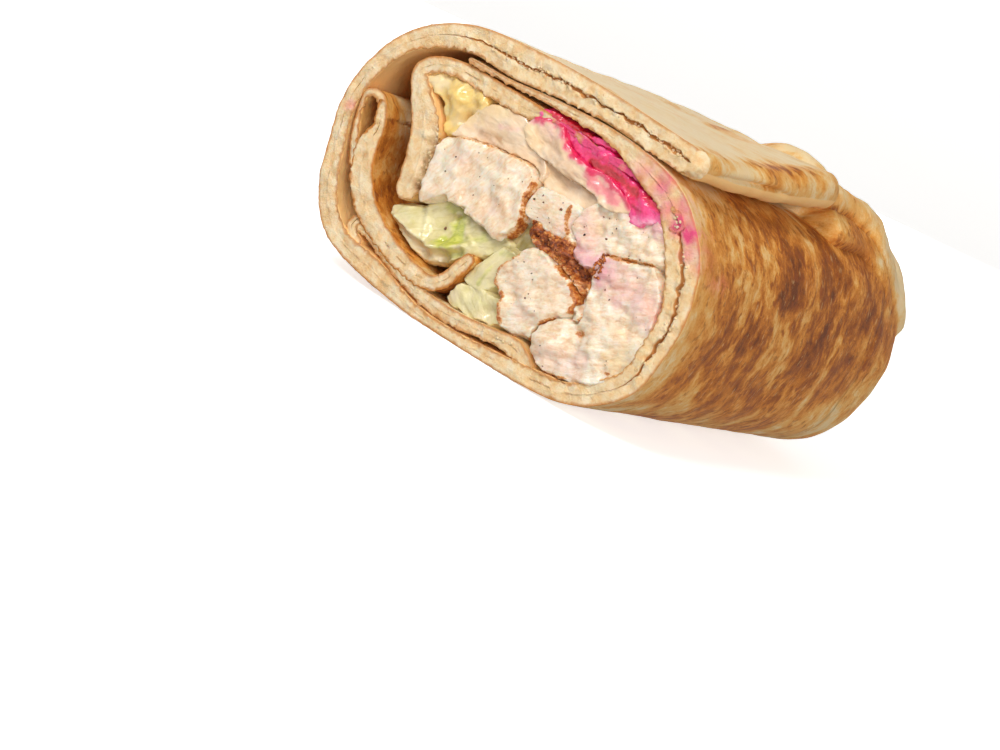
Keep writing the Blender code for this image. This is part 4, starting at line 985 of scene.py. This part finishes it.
def surface_depth(x, z, pieces):
    """How deep the nearest of the pieces lies behind a point of the cut face."""
    start = Vector((x + CENTRE_X, -LENGTH / 2 - 20.0, z + BASE_Z)) * 0.001
    hits = [piece.ray_cast(start, (0.0, 1.0, 0.0)) for piece in pieces]
    return min([place.y * 1000.0 + LENGTH / 2 for hit, place, _, _ in hits if hit], default=4.0)


def lying_on(name, grains, finish, pieces):
    """Flat grains (x, z, half width, half height, turn in degrees, thickness) laid on the pieces."""
    parts = []
    for order, (x, z, wide, high, turn, thick) in enumerate(grains):
        bpy.ops.object.select_all(action="DESELECT")
        bpy.ops.mesh.primitive_uv_sphere_add(segments=10, ring_count=5, radius=1.0)
        grain = bpy.context.object
        ball = np.array([vertex.co for vertex in grain.data.vertices])
        uneven = 1.0 + 0.35 * rough(ball * 1.4 + order * 3.7, 1.0, seed=31)
        turn = math.radians(turn)
        along, across = ball[:, 0] * wide * uneven, ball[:, 1] * high * uneven
        across_x = x + along * math.cos(turn) - across * math.sin(turn)
        across_z = z + along * math.sin(turn) + across * math.cos(turn)
        under = np.median([surface_depth(u, v, pieces) for u, v in zip(across_x, across_z)])
        level = under - thick * (ball[:, 2] * uneven + 0.15)
        points = np.column_stack([across_x, level, across_z])
        grain.data.vertices.foreach_set("co", in_world(points).ravel())
        parts.append(grain)
    bpy.ops.object.select_all(action="DESELECT")
    for grain in parts:
        grain.select_set(True)
    bpy.context.view_layer.objects.active = parts[0]
    bpy.ops.object.join()
    whole = bpy.context.object
    whole.name = whole.data.name = name
    bpy.ops.object.mode_set(mode="EDIT")
    bpy.ops.mesh.select_all(action="SELECT")
    bpy.ops.mesh.normals_make_consistent(inside=False)
    bpy.ops.object.mode_set(mode="OBJECT")
    bpy.ops.object.shade_smooth()
    whole.data.materials.append(finish)
    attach(whole, "root")
    return whole


def scattered(random, count, boxes, small, large):
    """Grains at random places in boxes (x from, x to, z from, z to) of the cut face."""
    grains = []
    for _ in range(count):
        left, right, low, high = boxes[random.integers(len(boxes))]
        size = random.uniform(small, large)
        grains.append((random.uniform(left, right), random.uniform(low, high), size,
                       size * random.uniform(0.5, 0.9), random.uniform(0.0, 180.0), size * 0.8))
    return grains


# The larger grains one by one; the fine ones fall in boxes (x from, x to, z from, z to).
PEPPER_GRAINS = [
    (9.8, 29, 0.3, 0.22, 20, 0.2), (4, 28.3, 0.24, 0.18, 0, 0.2), (16, 27.2, 0.26, 0.2, 60, 0.2),
    (20.3, 28.4, 0.24, 0.18, 0, 0.2), (-10.6, 16.2, 0.36, 0.24, 60, 0.2)]
PEPPER_BOXES = (
    (3.6, 13, 25.6, 30.4), (15, 31, 27.5, 33), (6, 18, 9, 18.5), (-16, 1.6, 21, 31), (18, 34, 7, 25))
CHAR_BOXES = (
    (5.4, 10, 22.4, 24.8), (9.5, 14.5, 21.6, 24.8), (14, 20.5, 20.2, 22.6), (20.8, 22.4, 22, 26))

pepper, shade, surface = finish_material("cracked_pepper", {"Roughness": 0.7})
pepper_tone = shade.noise(0.8, detail=2.0)
set_sockets(shade, surface, Base_Color=pepper_tone.ramp((0.35, 44, 26, 18), (0.65, 124, 74, 44)))
random = np.random.default_rng(5)
lying_on("pepper", PEPPER_GRAINS + scattered(random, 46, PEPPER_BOXES, 0.07, 0.19), pepper, FILLINGS)

char, shade, surface = finish_material("char_crumbs", {"Roughness": 0.75})
char_tone = shade.noise(0.7, detail=3.0)
char_colour = char_tone.ramp((0.3, 88, 40, 12), (0.5, 170, 86, 26), (0.68, 220, 144, 68))
set_sockets(shade, surface, Base_Color=char_colour, Normal=shade.bump(char_tone, 0.2, 0.9))
lying_on("char_crumbs", scattered(random, 170, CHAR_BOXES, 0.13, 0.36), char, FILLINGS)

# Loose crumbs of bread: along the outer turn's torn lines, on the base ply and at the worn end.
outer_line, base_line = smooth_line(OUTER_TURN, 0.5), smooth_line(BASE_PLY, 0.5)
crumbs = []
for torn, count in ((outer_line[outer_line[:, 3] > 0.15], 150), (base_line[8:26], 12)):
    for _ in range(count):
        x, z = torn[random.integers(len(torn))][:2]
        size = random.uniform(0.12, 0.34)
        crumbs.append((x + random.normal(0.0, 0.34), z + random.normal(0.0, 0.34), size, size * 0.8,
                       random.uniform(0.0, 180.0), size * 0.9))
for _ in range(60):
    z = random.uniform(20.0, 32.0)
    size = random.uniform(0.14, 0.38)
    x = WORN_X - 0.1 - WORN_LEAN * (z - MIDDLE_Z) + random.normal(0.0, 0.5)
    crumbs.append((x, z, size, size * 0.8, random.uniform(0.0, 180.0), size * 0.9))
bread_crumbs = lying_on("bread_crumbs", crumbs, bread, PLIES)
for fact in ("crumb", "inset"):
    layer = bread_crumbs.data.attributes.new(fact, "FLOAT", "POINT")
    layer.data.foreach_set("value", np.ones(len(bread_crumbs.data.vertices)))

# ---- Floor, light and camera -------------------------------------------------------------------
# A white studio bowl that throws no light back on the wrap, a small soft key light above the cut, a
# low fill from the right, a large soft light behind, and the photograph's viewing angle.
BOWL_STEPS = ((1.12, 0.02), (1.08, 0.05), (1.05, 0.09), (1.03, 0.14), (1.0, 0.5))
# name, place, width and power; all are square and aimed at the wrap
SOFT_BOXES = (
    ("key", (-0.08, -0.56, 0.56), 0.28, 3.7), ("fill", (0.60, -0.46, 0.14), 0.40, 3.4),
    ("back", (-0.50, 0.62, 0.14), 0.50, 2.4))
AIM = (0.0, 0.0, 0.025)
CAMERA_PLACE = (0.22292, -0.36832, 0.07320)
CAMERA_TURN, CAMERA_RISE, CAMERA_ROLL = 32.69886, 10.72911, 25.302

bpy.ops.object.select_all(action="DESELECT")
bpy.ops.mesh.primitive_circle_add(vertices=96, radius=0.9, fill_type="NGON")
floor = bpy.context.object
floor.name = "studio_floor"
bpy.ops.object.mode_set(mode="EDIT")
bpy.ops.mesh.select_all(action="SELECT")
for widen, rise in BOWL_STEPS:
    bpy.ops.mesh.extrude_region_move(TRANSFORM_OT_translate={"value": (0, 0, rise)})
    bpy.ops.transform.resize(value=(widen, widen, 1.0))
bpy.ops.mesh.delete(type="ONLY_FACE")
bpy.ops.mesh.select_all(action="SELECT")
bpy.ops.mesh.normals_make_consistent(inside=True)
bpy.ops.object.mode_set(mode="OBJECT")
bpy.ops.object.shade_smooth()
paper, shade, surface = finish_material("white_paper", {
    "Roughness": 0.9, "Specular IOR Level": 0.1, "Emission Color": (1.0, 1.0, 1.0, 1.0),
    "Emission Strength": 0.64})
paper_tone = shade.noise(60.0, detail=1.0)
set_sockets(shade, surface, Base_Color=paper_tone.ramp((0, 247, 247, 246), (1, 250, 250, 250)))
floor.data.materials.append(paper)
floor.visible_diffuse = False

scene = bpy.context.scene
scene.view_settings.view_transform = "Standard"
world = bpy.data.worlds.new("studio")
scene.world = world
world.use_nodes = True
air = world.node_tree.nodes["Background"].inputs
air["Color"].default_value, air["Strength"].default_value = (1.0, 0.95, 0.88, 1.0), 0.26

for name, place, size, power in SOFT_BOXES:
    lamp = bpy.data.lights.new(name, "AREA")
    lamp.energy, lamp.size = power, size
    light = bpy.data.objects.new(name, lamp)
    scene.collection.objects.link(light)
    light.location = place
    light.rotation_euler = (Vector(AIM) - Vector(place)).to_track_quat("-Z", "Y").to_euler()

lens = bpy.data.cameras.new("camera")
lens.lens, lens.sensor_width = 85.0, 36.0
camera = bpy.data.objects.new("camera", lens)
scene.collection.objects.link(camera)
turn, rise, roll = (math.radians(angle) for angle in (CAMERA_TURN, CAMERA_RISE, CAMERA_ROLL))
back = Vector((math.sin(turn) * math.cos(rise), -math.cos(turn) * math.cos(rise), math.sin(rise)))
level = Vector((math.cos(turn), math.sin(turn), 0.0))
upright = back.cross(level)
right = math.cos(roll) * level + math.sin(roll) * upright
top = math.cos(roll) * upright - math.sin(roll) * level
facing = Matrix((right, top, back)).transposed().to_4x4()
camera.matrix_world = Matrix.Translation(CAMERA_PLACE) @ facing
scene.camera = camera
